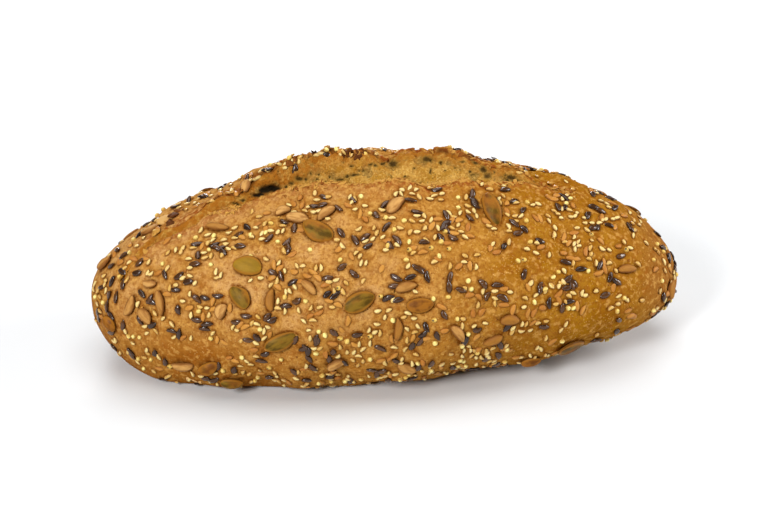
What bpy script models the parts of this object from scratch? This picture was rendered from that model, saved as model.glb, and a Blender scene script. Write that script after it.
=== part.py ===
"""A spelt multigrain loaf: one long baked loaf, slashed along its crown, with seeds baked into its crust.

Lengths are metres and +Z is up. X runs along the loaf, its front faces -Y, and the origin is on the table
under its middle. A place on the skin is named by two numbers: along, from -1 at the left tip to 1 at the
right tip, and turn, the angle round the loaf, which is 0 at the back, a quarter at the crown, a half at the
front and three quarters at the base.
"""

import math

import bmesh
import bpy
import numpy as np
from mathutils import Matrix, Vector
from mathutils.bvhtree import BVHTree

MM = 0.001

# Driving sizes of the loaf. The lips of the slash stand a little above its height.
LENGTH = 250 * MM
WIDTH = 120 * MM
HEIGHT = 86 * MM
WIDEST_LEVEL = 36 * MM
TIP_LEVEL_LEFT = 29 * MM
TIP_LEVEL_RIGHT = 28 * MM
BELLY_DEPTH = 45 * MM
BASE_FILLET = 4 * MM

# How fast the loaf draws in towards its left and its right tip: a low power is a pointed end. The belly is
# fullest left of the middle, so the right end lifts clear of the table.
PLAN_POWERS = (1.8, 1.8)
CROWN_POWERS = (1.35, 1.6)
BELLY_POWERS = (1.6, 2.1)
BELLY_FULLEST = -0.65
SIDE_ROUNDNESS = 2.0
CROWN_ROUNDNESS = 1.9
BELLY_ROUNDNESS = 2.2

# The open slash along the crown: where its front lip runs, how wide it gapes, and where the dough tore wider.
SLASH_MIDDLE = -14 * MM
SLASH_HALF_LENGTH = 101 * MM
SLASH_GAP = 15 * MM
LEAST_GAP = 0.001 * MM
TEAR_AT = 16 * MM
TEAR_SPREAD = 30 * MM
TEAR_FORWARD = 8 * MM
TEAR_EXTRA = 14 * MM
FRONT_LIP_AT = -11.5 * MM
FRONT_LIP_SLANT = 0.05
LIP_WAVES = ((8.5 * MM, 1.3 * MM, 0), (3.9 * MM, 0.8 * MM, 1))

# Across the slash, as shares of its gap: a steep front wall, a torn floor that climbs, and a back wall.
WALL_SHARE = 0.13
BACK_STEP_SHARE = 0.9
FLOOR_CLIMB = 0.9
SLASH_DEPTH = 5 * MM
CREVICE_DEPTH = 4.5 * MM
CREVICE_AT = -50 * MM
CREVICE_SPREAD = 26 * MM
RUN_OUT = 0.5
RELIEF_FADE = 0.4

# How far each lip stands proud of the skin: the back one is ragged and highest left of the middle.
FRONT_LIP_RISE = 1.2 * MM
BACK_LIP_RISE = 2.6 * MM
BACK_LIP_RIPPLE = 0.7 * MM
RIPPLE_LENGTH = 4.1 * MM
PEAK_AT = -30 * MM
PEAK_SPREAD = 20 * MM
PEAK_RISE = 3 * MM
LIP_SHOULDER = 8 * MM

# Soft unevenness of the dough: wavelengths in millimetres and phases, each wave turned from the last.
SWELL_HEIGHT = 0.5 * MM
SWELL_WAVES = ((34, 61), (48, 7), (27, 19), (70, 43), (39, 88), (55, 29))
SWELL_TURNS = (2.4, 1.7)

# The loft: stations along the loaf, and columns round it on the back, in the slash, on the front and below.
STATIONS = 42
BACK_COLUMNS = 8
FRONT_COLUMNS = 9
UNDER_COLUMNS = 12
SLASH_COLUMNS = (0, 0.1, 0.26, 0.45, 0.65, 0.85, 1 - WALL_SHARE)
LEAST_COLUMN_GAP = 7 * MM
LIP_REACH = 0.82

# Kinds of seed and crumb: size, how pointed, and the share of the thickness sunk in the crust.
SEED_KINDS = {
    "flake": dict(size=(7.5 * MM, 4.6 * MM, 4.2 * MM), point=0.2, sunk=0.4, segments=7, rings=4),
    "pumpkin": dict(size=(13.2 * MM, 7.9 * MM, 2.8 * MM), point=0.34, sunk=0.42, segments=8, rings=4),
    "sunflower": dict(size=(9.2 * MM, 4.4 * MM, 2.9 * MM), point=0.5, sunk=0.5, segments=6, rings=4),
    "linseed": dict(size=(4.9 * MM, 2.5 * MM, 1.5 * MM), point=0.45, sunk=0.36, segments=6, rings=3),
}
TAPER_POWER = 1.5

# Pieces that stand out on the front: place along in millimetres, turn and lie in degrees.
CHOSEN_PLACES = {
    "flake": ((-90, 100, 45), (-11, 76, -40), (57, 78, -20)),
    "pumpkin": (
        (-31, 130, -45), (-60, 142, -15), (-63, 158, -55), (-47, 183, 25), (-16, 163, 20), (8, 165, 0),
        (40, 120, -75), (-67, 213, -20), (-76, 201, 35), (56, 217, 20), (73, 211, -40), (-115, 189, -25),
    ),
    "sunflower": (
        (-108, 163, 60), (-95, 161, -80), (-101, 173, -50), (-71, 166, 55), (-87, 202, 25), (-99, 146, -5),
        (-71, 118, -15), (-39, 121, -20), (-27, 121, 25), (1, 119, 50), (3, 157, 15), (-36, 155, -35),
        (97, 149, 10), (118, 176, 85), (45, 175, -5), (-25, 199, 45), (5, 204, -35), (24, 181, -55),
        (-52, 160, -60), (39, 188, 20),
    ),
    "linseed": (),
}

# The rest are drawn at random, the large kinds only where the chosen ones are not: behind the slash.
SCATTER_COUNTS = {"flake": 0, "pumpkin": 12, "sunflower": 22, "linseed": 134}
SCATTER_TURNS = {"flake": (0, 0), "pumpkin": (-65, 80), "sunflower": (-65, 80), "linseed": (0, 360)}
SPACING = {"flake": 8 * MM, "pumpkin": 15 * MM, "sunflower": 10 * MM, "linseed": 4.6 * MM}
SCATTER_REACH = 0.97
TIP_MARGIN = 4 * MM
TABLE_MARGIN = 1.2 * MM
RANDOM_SEED = 11

CRUST_COLOUR = (0.47, 0.235, 0.06, 1)
CRUST_ROUGHNESS = 0.62
SMOOTH_ANGLE = 40


def smooth(x):
    """Runs from 0 to 1 as x does, level at both ends."""
    x = np.clip(x, 0, 1)
    return x * x * (3 - 2 * x)


def bell(x, spread):
    return np.exp(-((x / spread) ** 2))


def fullness(along, fullest, powers):
    """1 at the fullest station, 0 at either tip."""
    left = (fullest - along) / (1 + fullest)
    right = (along - fullest) / (1 - fullest)
    drawn_in = np.where(along < fullest, np.clip(left, 0, 1) ** powers[0], np.clip(right, 0, 1) ** powers[1])
    return np.sqrt(np.clip(1 - drawn_in, 0, 1))


def swell(x, y, z):
    """A slow, even mix of waves that keeps the skin from being a perfect oval."""
    total = 0
    for number, (wavelength, phase) in enumerate(SWELL_WAVES):
        across, up = math.cos(SWELL_TURNS[0] * number), math.sin(SWELL_TURNS[1] * number)
        reach = (x + across * y + up * z) / (wavelength * MM)
        total = total + np.sin(2 * math.pi * reach + phase)
    return SWELL_HEIGHT * total


def lips(x):
    """(y of the front lip, y of the back lip, how open the slash is from 0 to 1) at x."""
    share = np.clip(np.abs(x - SLASH_MIDDLE) / SLASH_HALF_LENGTH, 0, 1)
    openness = 1 - share ** 2
    tear = bell(x - TEAR_AT, TEAR_SPREAD)
    front = FRONT_LIP_AT + FRONT_LIP_SLANT * x - TEAR_FORWARD * tear
    for length, height, phase in LIP_WAVES:
        front = front + height * np.sin(x / length + phase)
    return front, front + (SLASH_GAP + TEAR_EXTRA * tear) * openness + LEAST_GAP, openness


def slash_relief(x, y):
    """How far the slash, its torn floor and its lips move the skin up or down."""
    front, back, openness = lips(x)
    across = (y - front) / (back - front)
    depth = SLASH_DEPTH + CREVICE_DEPTH * bell(x - CREVICE_AT, CREVICE_SPREAD)
    front_wall = smooth(across / WALL_SHARE)
    floor = 1 - FLOOR_CLIMB * smooth((across - WALL_SHARE) / (BACK_STEP_SHARE - WALL_SHARE))
    back_wall = smooth((across - BACK_STEP_SHARE) / (1 - BACK_STEP_SHARE))
    carved = -depth * front_wall * floor * (1 - back_wall)
    front_rise = FRONT_LIP_RISE * bell(np.minimum(y - front, 0), LIP_SHOULDER) * (1 - front_wall)
    back_height = BACK_LIP_RISE + PEAK_RISE * bell(x - PEAK_AT, PEAK_SPREAD)
    back_height = back_height + BACK_LIP_RIPPLE * np.sin(x / RIPPLE_LENGTH)
    back_rise = back_height * bell(np.maximum(y - back, 0), LIP_SHOULDER) * back_wall
    return (carved + front_rise + back_rise) * smooth(openness / RUN_OUT)


def skin(along, turn):
    """Points of the loaf's skin, as an array whose last axis is x, y, z."""
    along, turn = np.broadcast_arrays(np.asarray(along, float), np.asarray(turn, float))
    x = along * LENGTH / 2
    plan = fullness(along, 0.0, PLAN_POWERS)
    crown = fullness(along, 0.0, CROWN_POWERS)
    belly = fullness(along, BELLY_FULLEST, BELLY_POWERS)
    tip_level = np.where(along < 0, TIP_LEVEL_LEFT, TIP_LEVEL_RIGHT)
    level = WIDEST_LEVEL + (tip_level - WIDEST_LEVEL) * along ** 2
    out, up = np.cos(turn), np.sin(turn)
    y = WIDTH / 2 * plan * np.sign(out) * np.abs(out) ** (2 / SIDE_ROUNDNESS)
    rise = (HEIGHT - level) * crown * np.abs(up) ** (2 / CROWN_ROUNDNESS)
    drop = BELLY_DEPTH * belly * np.abs(up) ** (2 / BELLY_ROUNDNESS)
    z = level + np.where(up > 0, rise, -drop)
    swelling = swell(x, y, z) * plan
    z = z + slash_relief(x, y) * smooth(up / RELIEF_FADE) * plan
    y = y + swelling * out
    z = z + swelling * up
    rounded = (z + BASE_FILLET) ** 2 / (4 * BASE_FILLET)
    z = np.where(z < -BASE_FILLET, 0, np.where(z < BASE_FILLET, rounded, z))
    return np.stack([x, y, z], -1)


def turn_at(along, y):
    """The turn, between front and back over the crown, where the skin is at y."""
    half_width = WIDTH / 2 * fullness(along, 0.0, PLAN_POWERS)
    share = np.clip(y / half_width, -LIP_REACH, LIP_REACH)
    return np.arccos(np.sign(share) * np.abs(share) ** (SIDE_ROUNDNESS / 2))


def column_turns(along):
    """The turns of one station's points. Columns run along both lips, so that they stay crisp."""
    front, back, _ = lips(along * LENGTH / 2)
    middle, half_gap = (front + back) / 2, max(back - front, LEAST_COLUMN_GAP) / 2
    back_turn, front_turn = turn_at(along, middle + half_gap), turn_at(along, middle - half_gap)
    return np.concatenate([
        np.linspace(0, back_turn, BACK_COLUMNS, endpoint=False),
        back_turn + np.array(SLASH_COLUMNS) * (front_turn - back_turn),
        np.linspace(front_turn, math.pi, FRONT_COLUMNS, endpoint=False),
        np.linspace(math.pi, 2 * math.pi, UNDER_COLUMNS, endpoint=False),
    ])


def make_core():
    """The bare loaf: a loft through stations whose sections all differ, closed by one point at each tip."""
    bm = bmesh.new()
    tips = [bm.verts.new(skin(end, 0.0)) for end in (-1.0, 1.0)]
    rings = []
    for step in range(1, STATIONS):
        along = math.sin(math.pi / 2 * (2 * step / STATIONS - 1))
        rings.append([bm.verts.new(point) for point in skin(along, column_turns(along))])
    columns = len(rings[0])
    for column in range(columns):
        following = (column + 1) % columns
        bm.faces.new((tips[0], rings[0][following], rings[0][column]))
        bm.faces.new((tips[1], rings[-1][column], rings[-1][following]))
        for left, right in zip(rings, rings[1:]):
            bm.faces.new((left[column], left[following], right[following], right[column]))
    bmesh.ops.triangulate(bm, faces=bm.faces[:], quad_method="SHORT_EDGE")
    bmesh.ops.recalc_face_normals(bm, faces=bm.faces[:])
    mesh = bpy.data.meshes.new("loaf")
    bm.to_mesh(mesh)
    bm.free()
    return bpy.data.objects.new("loaf", mesh)


def make_seed_mesh(kind):
    """A flat, pointed oval, its length along X and its thickness along Z."""
    shape = SEED_KINDS[kind]
    length, width, thickness = shape["size"]
    bm = bmesh.new()
    bmesh.ops.create_uvsphere(bm, u_segments=shape["segments"], v_segments=shape["rings"], radius=0.5)
    for vert in bm.verts:
        narrowing = 1 - shape["point"] * max(0.0, 2 * vert.co.x) ** TAPER_POWER
        vert.co = (vert.co.x * length, vert.co.y * width * narrowing, vert.co.z * thickness)
    bmesh.ops.triangulate(bm, faces=bm.faces[:])
    mesh = bpy.data.meshes.new(kind)
    bm.to_mesh(mesh)
    bm.free()
    return mesh


def may_hold_seed(point, half_length):
    """Seeds stay off the torn slash, off each tip and clear of the table."""
    x, y, z = point
    front, back, openness = lips(x)
    in_slash = z > WIDEST_LEVEL and front - half_length < y < back + half_length / 2 and openness > 0
    at_tip = abs(x) > LENGTH / 2 - TIP_MARGIN
    return not (in_slash or at_tip or z < half_length + TABLE_MARGIN)


def scattered_places(rng, kind, taken):
    """Adds random places of one kind, each clear of those already taken."""
    half_length = SEED_KINDS[kind]["size"][0] / 2
    reach = SPACING[kind] / 2
    wanted = SCATTER_COUNTS[kind]
    while wanted:
        along = rng.uniform(-SCATTER_REACH, SCATTER_REACH)
        turn = math.radians(rng.uniform(*SCATTER_TURNS[kind]))
        lie = rng.uniform(0, 180)
        point = skin(along, turn)
        if rng.uniform() > fullness(along, 0.0, PLAN_POWERS) or not may_hold_seed(point, half_length):
            continue
        if any(np.linalg.norm(point - other) < reach + other_reach for other, other_reach in taken):
            continue
        taken.append((point, reach))
        wanted -= 1
        yield along, turn, lie


def seed_places(rng):
    """(kind, along, turn, lie in degrees) of every seed, the largest kind first."""
    taken = []
    for kind, places in CHOSEN_PLACES.items():
        for along_mm, turn_degrees, lie in places:
            along, turn = along_mm * MM / (LENGTH / 2), math.radians(turn_degrees)
            taken.append((skin(along, turn), SPACING[kind] / 2))
            yield kind, along, turn, lie
    for kind in CHOSEN_PLACES:
        for place in scattered_places(rng, kind, taken):
            yield (kind, *place)


def place_seed(seed, kind, along, turn, lie, facets):
    """Lays one seed on the loft's facets, part sunk into them, its length turned by lie from the loaf's own."""
    point, normal, _, _ = facets.find_nearest(Vector(skin(along, turn)))
    sideways = normal.cross(Vector((1, 0, 0))).normalized()
    ahead = sideways.cross(normal)
    thickness = SEED_KINDS[kind]["size"][2]
    rise = (0.5 - SEED_KINDS[kind]["sunk"]) * thickness
    frame = Matrix((ahead, sideways, normal)).transposed().to_4x4()
    spin = Matrix.Rotation(math.radians(lie), 4, "Z")
    seed.matrix_world = Matrix.Translation(point + rise * normal) @ frame @ spin


def fuse(core, seeds):
    """Joins the seeds to the loaf for good and clears them away."""
    union = core.modifiers.new("seeds", "BOOLEAN")
    union.operation = "UNION"
    union.operand_type = "COLLECTION"
    union.collection = seeds
    union.solver = "EXACT"
    bpy.context.view_layer.update()
    evaluated = core.evaluated_get(bpy.context.evaluated_depsgraph_get())
    joined = bpy.data.meshes.new_from_object(evaluated)
    core.modifiers.clear()
    core.data = joined
    for seed in list(seeds.objects):
        bpy.data.objects.remove(seed)
    bpy.data.collections.remove(seeds)


def crust_material():
    material = bpy.data.materials.new("crust")
    material.use_nodes = True
    shader = material.node_tree.nodes["Principled BSDF"]
    shader.inputs["Base Color"].default_value = CRUST_COLOUR
    shader.inputs["Roughness"].default_value = CRUST_ROUGHNESS
    shader.inputs["Metallic"].default_value = 0
    return material


def main():
    for obj in list(bpy.data.objects):
        bpy.data.objects.remove(obj)
    bread = bpy.data.collections.new("spelt_multigrain_loaf")
    seeds = bpy.data.collections.new("seeds")
    for collection in (bread, seeds):
        bpy.context.scene.collection.children.link(collection)
    loaf = make_core()
    bread.objects.link(loaf)
    rng = np.random.RandomState(RANDOM_SEED)
    meshes = {kind: make_seed_mesh(kind) for kind in SEED_KINDS}
    facets = BVHTree.FromObject(loaf, bpy.context.evaluated_depsgraph_get())
    for number, (kind, *place) in enumerate(seed_places(rng)):
        seed = bpy.data.objects.new(f"{kind}_{number}", meshes[kind])
        seeds.objects.link(seed)
        place_seed(seed, kind, *place, facets)
    fuse(loaf, seeds)
    loaf.data.materials.clear()
    loaf.data.materials.append(crust_material())
    loaf.data.shade_smooth()
    loaf.data.set_sharp_from_angle(angle=math.radians(SMOOTH_ANGLE))


main()
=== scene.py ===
"""The looks of the spelt multigrain loaf: its crust, its torn crumb and the seeds baked into it.

Lengths are metres and +Z is up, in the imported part's own frame: X runs along the loaf, its front faces -Y and
it rests on z = 0. A place on the skin is named by along, from -1 at the left tip to 1 at the right tip, and
by turn, the angle round the loaf: 0 at the back, a quarter turn at the crown and half a turn at the front.
"""

import functools
import itertools
import math
from collections import namedtuple

import bpy
import numpy as np
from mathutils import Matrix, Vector
from mathutils.bvhtree import BVHTree
from mathutils.kdtree import KDTree


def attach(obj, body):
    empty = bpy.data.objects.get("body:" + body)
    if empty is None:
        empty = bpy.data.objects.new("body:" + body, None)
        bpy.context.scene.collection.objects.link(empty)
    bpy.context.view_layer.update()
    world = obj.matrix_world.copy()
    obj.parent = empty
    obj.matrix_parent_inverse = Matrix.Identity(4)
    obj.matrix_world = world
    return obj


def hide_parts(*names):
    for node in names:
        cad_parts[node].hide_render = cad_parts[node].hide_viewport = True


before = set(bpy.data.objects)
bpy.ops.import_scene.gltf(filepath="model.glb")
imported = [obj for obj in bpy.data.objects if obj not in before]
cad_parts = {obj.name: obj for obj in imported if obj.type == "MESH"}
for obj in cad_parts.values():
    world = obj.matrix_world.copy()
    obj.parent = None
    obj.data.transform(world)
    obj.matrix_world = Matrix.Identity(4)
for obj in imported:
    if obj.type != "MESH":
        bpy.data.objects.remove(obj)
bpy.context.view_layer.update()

MM = 0.001

# The loaf's form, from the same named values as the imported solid.
LENGTH = 250 * MM
WIDTH = 120 * MM
HEIGHT = 86 * MM
WIDEST_LEVEL = 36 * MM
TIP_LEVEL_LEFT = 29 * MM
TIP_LEVEL_RIGHT = 28 * MM
BELLY_DEPTH = 45 * MM
BASE_FILLET = 4 * MM
PLAN_POWERS = (1.8, 1.8)
CROWN_POWERS = (1.35, 1.6)
BELLY_POWERS = (1.6, 2.1)
BELLY_FULLEST = -0.65
SIDE_ROUNDNESS = 2.0
CROWN_ROUNDNESS = 1.9
BELLY_ROUNDNESS = 2.2

SLASH_MIDDLE = -14 * MM
SLASH_HALF_LENGTH = 101 * MM
SLASH_GAP = 15 * MM
LEAST_GAP = 0.001 * MM
TEAR_AT = 16 * MM
TEAR_SPREAD = 30 * MM
TEAR_FORWARD = 8 * MM
TEAR_EXTRA = 14 * MM
FRONT_LIP_AT = -11.5 * MM
FRONT_LIP_SLANT = 0.05
LIP_WAVES = ((8.5 * MM, 1.3 * MM, 0), (3.9 * MM, 0.8 * MM, 1))
WALL_SHARE = 0.13
BACK_STEP_SHARE = 0.9
FLOOR_CLIMB = 0.9
SLASH_DEPTH = 5 * MM
CREVICE_DEPTH = 4.5 * MM
CREVICE_AT = -50 * MM
CREVICE_SPREAD = 26 * MM
NOTCH_AT = -50 * MM
RUN_OUT = 0.5
RELIEF_FADE = 0.4
FRONT_LIP_RISE = 1.2 * MM
BACK_LIP_RISE = 2.6 * MM
BACK_LIP_RIPPLE = 0.7 * MM
RIPPLE_LENGTH = 4.1 * MM
PEAK_AT = -30 * MM
PEAK_SPREAD = 20 * MM
PEAK_RISE = 3 * MM
LIP_SHOULDER = 8 * MM

SWELL_HEIGHT = 0.5 * MM
SWELL_WAVES = ((34, 61), (48, 7), (27, 19), (70, 43), (39, 88), (55, 29))
SWELL_TURNS = (2.4, 1.7)
LEAST_COLUMN_GAP = 7 * MM
LIP_REACH = 0.82

# The fine crust: stations along the loaf, and columns on the back, in the slash, on the front and below.
STATIONS = 388
STATION_CROWDING = 0.24
CROWDING_POWER = 5
BACK_COLUMNS = 52
FRONT_COLUMNS = 116
UNDER_COLUMNS = 44
WALL_COLUMNS = 12
FLOOR_COLUMNS = 12

# Fine relief of the crust: (size, height, how much it is drawn out along the loaf).
CRUST_RELIEF = ((11 * MM, 0.42 * MM, 1.0), (4.2 * MM, 0.2 * MM, 1.0), (1.9 * MM, 0.1 * MM, 1.2))
LIP_TEARS = ((1.4 * MM, 0.35 * MM, 0.45 * MM), (2.9 * MM, 0.6 * MM, 0.8 * MM), (7.0 * MM, 0.6 * MM, 1.2 * MM))
LIP_NICKS = 0.6 * MM
NICK_SIZE = 2.2 * MM
FRONT_ROW, BACK_ROW, NICK_ROW = 0, 9, 17
# Where the crust at the torn back lip stands higher or lower than its even run: x, reach and height.
CREST_SHIFTS = (
    (-80 * MM, 10 * MM, -1.2 * MM), (-61 * MM, 5 * MM, -0.9 * MM), (-54 * MM, 8 * MM, 2.0 * MM),
    (-44 * MM, 15 * MM, 2.2 * MM), (-39 * MM, 6 * MM, 1.8 * MM), (-15 * MM, 6 * MM, 1.6 * MM),
    (-6 * MM, 6 * MM, -0.9 * MM), (0 * MM, 8 * MM, -3.4 * MM), (12 * MM, 14 * MM, -0.9 * MM),
    (31 * MM, 7 * MM, 0.8 * MM), (68 * MM, 12 * MM, -2.4 * MM), (74 * MM, 6 * MM, -2.0 * MM),
)
# Where only the very edge of the back lip stands up more, and where the front lip lies farther back: x, reach
# and distance.
LIP_SHIFTS = ((-6.5 * MM, 5.5 * MM, 6.0 * MM),)
FRONT_SHIFTS = ((-60 * MM, 15 * MM, 4.0 * MM),)
SHIFT_SHOULDER = 24 * MM
TUCK = 1.6 * MM

# The torn crumb between the lips.
CRUMB_STEP = 0.42 * MM
CRUMB_ROWS = 64
CRUMB_DEPTH = 3 * MM
CRUMB_FLARE = 3 * MM
CRUMB_BORDER = 0.015
PIT_COUNT = 700
PIT_SIZES = (0.5 * MM, 2.1 * MM)
CRUMB_CLIMB_FROM = 0.3
BACK_TUCK = 0.3 * MM
LEAST_SINK = 0.35
PIT_RANDOM_SEED = 3

TORN_FROM = -76 * MM
TORN_TO = 78 * MM
TORN_FADE = 18 * MM
TRENCH_AT = -47 * MM
TRENCH_SPREAD = 15 * MM
TRENCH_DEPTH = 7 * MM
TRENCH_ACROSS, TRENCH_WIDTH = 0.17, 0.1

SCORCHED_AT = -12.5 * MM
SCORCHED_SPREAD = 6 * MM
FLUSHED_AT = 17 * MM
FLUSHED_SPREAD = 22 * MM
TOASTED_AT = NOTCH_AT
TOASTED_SPREAD = 16 * MM
BASE_CLEARANCE = 6 * MM
WRINKLE_HEIGHT = 0.35 * MM
LIP_ROUGHNESS = 0.4 * MM

# Where the crust is rough. Its upper side starts at this sine of the turn, and the slash's rim is a share of
# its gap.
UPPER_SIDE = 0.15
SLASH_RIM = 0.05
TIP_FADE = 0.01
LIP_RUN_OUT = 0.4
LIP_ROUGH_REACH = 5 * MM
LIP_ROUGH_SIZE = 1.5 * MM
WRINKLE_SIZE = 1.7 * MM
WRINKLE_STRETCH = 4
CREASE_WANDER = 0.8
CREASE_WAVE = 3

# Areas of the crust, in millimetres. For each axis that counts: where an area begins, and where it is full.
X, Y, Z = 0, 1, 2
AREAS = {
    "floury": ((X, 40, 80), (Y, 0, -20), (Z, 34, 12), (Z, 0, 4)),
    # belly, the lower left side, and right, the right half, are painted darker as shade.
    "belly": ((Z, 42, 8), (X, -15, -65)),
    "dusty": ((X, 30, -30), (Z, 24, 44)),
    "right": ((X, -12, 63),),
    "less filmed": ((X, 15, 75),),
}
# More painted shade low on the left end, added to the belly's.
CHEEK_SHARE = 0.5
CHEEK_X, CHEEK_LENGTH = -75 * MM, 20 * MM
CHEEK_Z, CHEEK_HEIGHT = 30 * MM, 14 * MM
DUST_LEVEL, DUST_SPREAD = 52 * MM, 13 * MM
DUST_EVEN, DUST_MORE = 0.7, 0.6
FILM_LOSS = 0.7
ENDS_ALONG = (0.72, 0.97)
SCORCH_SIZE = 3.2 * MM
SCORCH_ENDS = (1 / 16, 11 / 16)
SCORCH_PATCHES, SCORCH_CLUMP = 0.75, 0.9
BURNT_REACH = 2.2 * MM
BURNT_WALL = (0.8, 0.92)
FLUSH_EVEN, FLUSH_MORE = 0.75, 0.6
FLUSH_BEFORE, FLUSH_BEHIND = 5 * MM, 6 * MM
FLUSH_OVER_FRONT, FLUSH_OVER_BACK = 1 * MM, 2 * MM
FRAY_REACH = 2.6 * MM

# The crumb's lumps: size, height, how much they are drawn out across, and how much calmer the crest is.
CRUMB_LUMPS = (
    (8 * MM, 0.7 * MM, 1, 0.6), (2.6 * MM, 0.6 * MM, 1.3, 0.5), (1.3 * MM, 0.42 * MM, 1, 0),
    (0.75 * MM, 0.3 * MM, 1, 0),
)
CREST_DROP = 0.9 * MM
CREST_CALM = 0.6
# Pairs named across run from where something begins to where it is full, as shares of the way over the slash.
CREST_ACROSS = (0.5, 0.85)
CRUMB_REACH = 0.97
NARROW_GAP = 12 * MM
UNTORN_LUMPS = 0.25
FADES_ACROSS = (0, 0.1), (1, 0.92)
HOLLOWS_ACROSS = (0.9, 0.75)
PIT_WARP = 1.3 * MM
PIT_WARP_SIZE = 2.1 * MM
PIT_SHIFT = 0.1
PIT_POWER = 4
PITS_ACROSS = (0.1, 0.95)
PITS_DRAWN_OUT = (0.7, 1.8)
PIT_DEPTHS = (0.4, 0.9)
PIT_RIM = 1.3
RAGS = ((3.1 * MM, 1.3), (1.2 * MM, 0.91))
RAG_SHIFT = 5 * MM
HOLLOW_EDGE = 1.15
# How low the crumb lies where its painted shade begins, and where it is full.
HOLLOW_MARK = (-0.5 * MM, -2.1 * MM)
TOAST_ACROSS, FRONT_TOAST_ACROSS, NOTCH_TOAST_ACROSS = (0.45, 0.95), (0.2, 0), (0.35, 0.6)
FRONT_TOAST, ENDS_TOAST = 0.5, 0.8
BURNT_ACROSS = (0.86, 0.98)
# How strongly the notch's black shadow is painted.
NOTCH_DARKNESS = 1.7

# The photograph's frame and its camera.
FRAME_WIDTH, FRAME_HEIGHT = 768, 512
SENSOR = 36
PIXELS_PER_MM = 2.36
CAMERA_DISTANCE = 0.9
CAMERA_YAW = math.radians(5.1)
CAMERA_ELEVATION = math.radians(25)
CAMERA_AIM = Vector((-1.1 * MM, 0, 42.6 * MM))

# The studio's lights: name, azimuth and elevation in degrees, size in metres, and watts.
LIGHTS = (
    ("front_left", 238, 30, 0.35, 19), ("right", 0, 22, 0.6, 17), ("back_low", 90, 14, 0.45, 12),
    ("back_left", 110, 55, 0.6, 4), ("top", 270, 84, 1.2, 13),
)
LIGHT_DISTANCE = 1.4
LIGHT_AIM = Vector((0, 0, 0.03))
WORLD_STRENGTH = 0.07
FLOOR_REACH = 6

TINY = 1e-12
LATTICE_SIZE = 64
LATTICE_RANDOM_SEED = 5
LATTICE = np.random.RandomState(LATTICE_RANDOM_SEED).uniform(-1, 1, (LATTICE_SIZE,) * 3)


def smooth(x):
    """Runs from 0 to 1 as x does, level at both ends."""
    x = np.clip(x, 0, 1)
    return x * x * (3 - 2 * x)


def ramp(x, start, end):
    """Runs smoothly from 0 where x is start to 1 where it is end."""
    return smooth((x - start) / (end - start))


def bell(x, spread):
    """1 where x is 0, and next to nothing where it is twice the spread."""
    return np.exp(-((x / spread) ** 2))


def fading(beyond, spread):
    """1 up to a border, and less and less beyond it."""
    return bell(np.maximum(beyond, 0), spread)


def noise(points, size):
    """Smooth random relief from -1 to 1 whose bumps are about size across."""
    cell, part = np.divmod(points / size, 1)
    cell = cell.astype(int)
    part = part * part * (3 - 2 * part)
    total = 0
    for corner in itertools.product((0, 1), repeat=3):
        weight = np.prod(np.where(corner, part, 1 - part), axis=-1)
        x, y, z = np.moveaxis((cell + corner) % LATTICE_SIZE, -1, 0)
        total = total + weight * LATTICE[x, y, z]
    return total


def noise_along(x, size, row):
    """The same relief along a line, another one for each row."""
    return noise(np.stack([x, np.full_like(x, row * size), np.zeros_like(x)], -1), size)


def fullness(along, fullest, powers):
    """1 at the fullest station, 0 at either tip."""
    left = (fullest - along) / (1 + fullest)
    right = (along - fullest) / (1 - fullest)
    drawn_in = np.where(along < fullest, np.clip(left, 0, 1) ** powers[0], np.clip(right, 0, 1) ** powers[1])
    return np.sqrt(np.clip(1 - drawn_in, 0, 1))


def plan_share(along):
    """How wide the loaf is, as a share of its width in the middle."""
    return fullness(along, 0, PLAN_POWERS)


def swell(x, y, z):
    """A slow, even mix of waves that keeps the skin from being a perfect oval."""
    total = 0
    for number, (wavelength, phase) in enumerate(SWELL_WAVES):
        across, up = math.cos(SWELL_TURNS[0] * number), math.sin(SWELL_TURNS[1] * number)
        reach = (x + across * y + up * z) / (wavelength * MM)
        total = total + np.sin(2 * math.pi * reach + phase)
    return SWELL_HEIGHT * total


def shifted(x, shifts):
    return sum(shift * bell(x - middle, reach) for middle, reach, shift in shifts)


def lips(x, torn=0):
    """(y of the front lip, y of the back lip, openness from 0 to 1) at x. Torn adds fine tears."""
    share = np.clip(np.abs(x - SLASH_MIDDLE) / SLASH_HALF_LENGTH, 0, 1)
    openness = 1 - share ** 2
    tear = bell(x - TEAR_AT, TEAR_SPREAD)
    front = FRONT_LIP_AT + FRONT_LIP_SLANT * x - TEAR_FORWARD * tear
    for length, height, phase in LIP_WAVES:
        front = front + height * np.sin(x / length + phase)
    back = front + (SLASH_GAP + TEAR_EXTRA * tear) * openness + LEAST_GAP
    if torn:
        front = front + shifted(x, FRONT_SHIFTS)
        for size, front_height, back_height in LIP_TEARS:
            front = front + torn * front_height * noise_along(x, size, FRONT_ROW) * openness
            back = back + torn * back_height * noise_along(x, size, BACK_ROW) * openness
    return front, back, openness


def slash_walls(across):
    """Shares of the front wall, the climbing floor and the back wall at across, from 0 to 1 over the gap."""
    front_wall = ramp(across, 0, WALL_SHARE)
    floor = 1 - FLOOR_CLIMB * ramp(across, WALL_SHARE, BACK_STEP_SHARE)
    back_wall = ramp(across, BACK_STEP_SHARE, 1)
    return front_wall, floor, back_wall


def slash_depth(x):
    return SLASH_DEPTH + CREVICE_DEPTH * bell(x - CREVICE_AT, CREVICE_SPREAD)


def back_lip_height(x, torn=0):
    height = BACK_LIP_RISE + PEAK_RISE * bell(x - PEAK_AT, PEAK_SPREAD)
    height = height + BACK_LIP_RIPPLE * np.sin(x / RIPPLE_LENGTH)
    if torn:
        height = height + LIP_NICKS * noise_along(x, NICK_SIZE, NICK_ROW) + shifted(x, LIP_SHIFTS)
    return height


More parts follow.
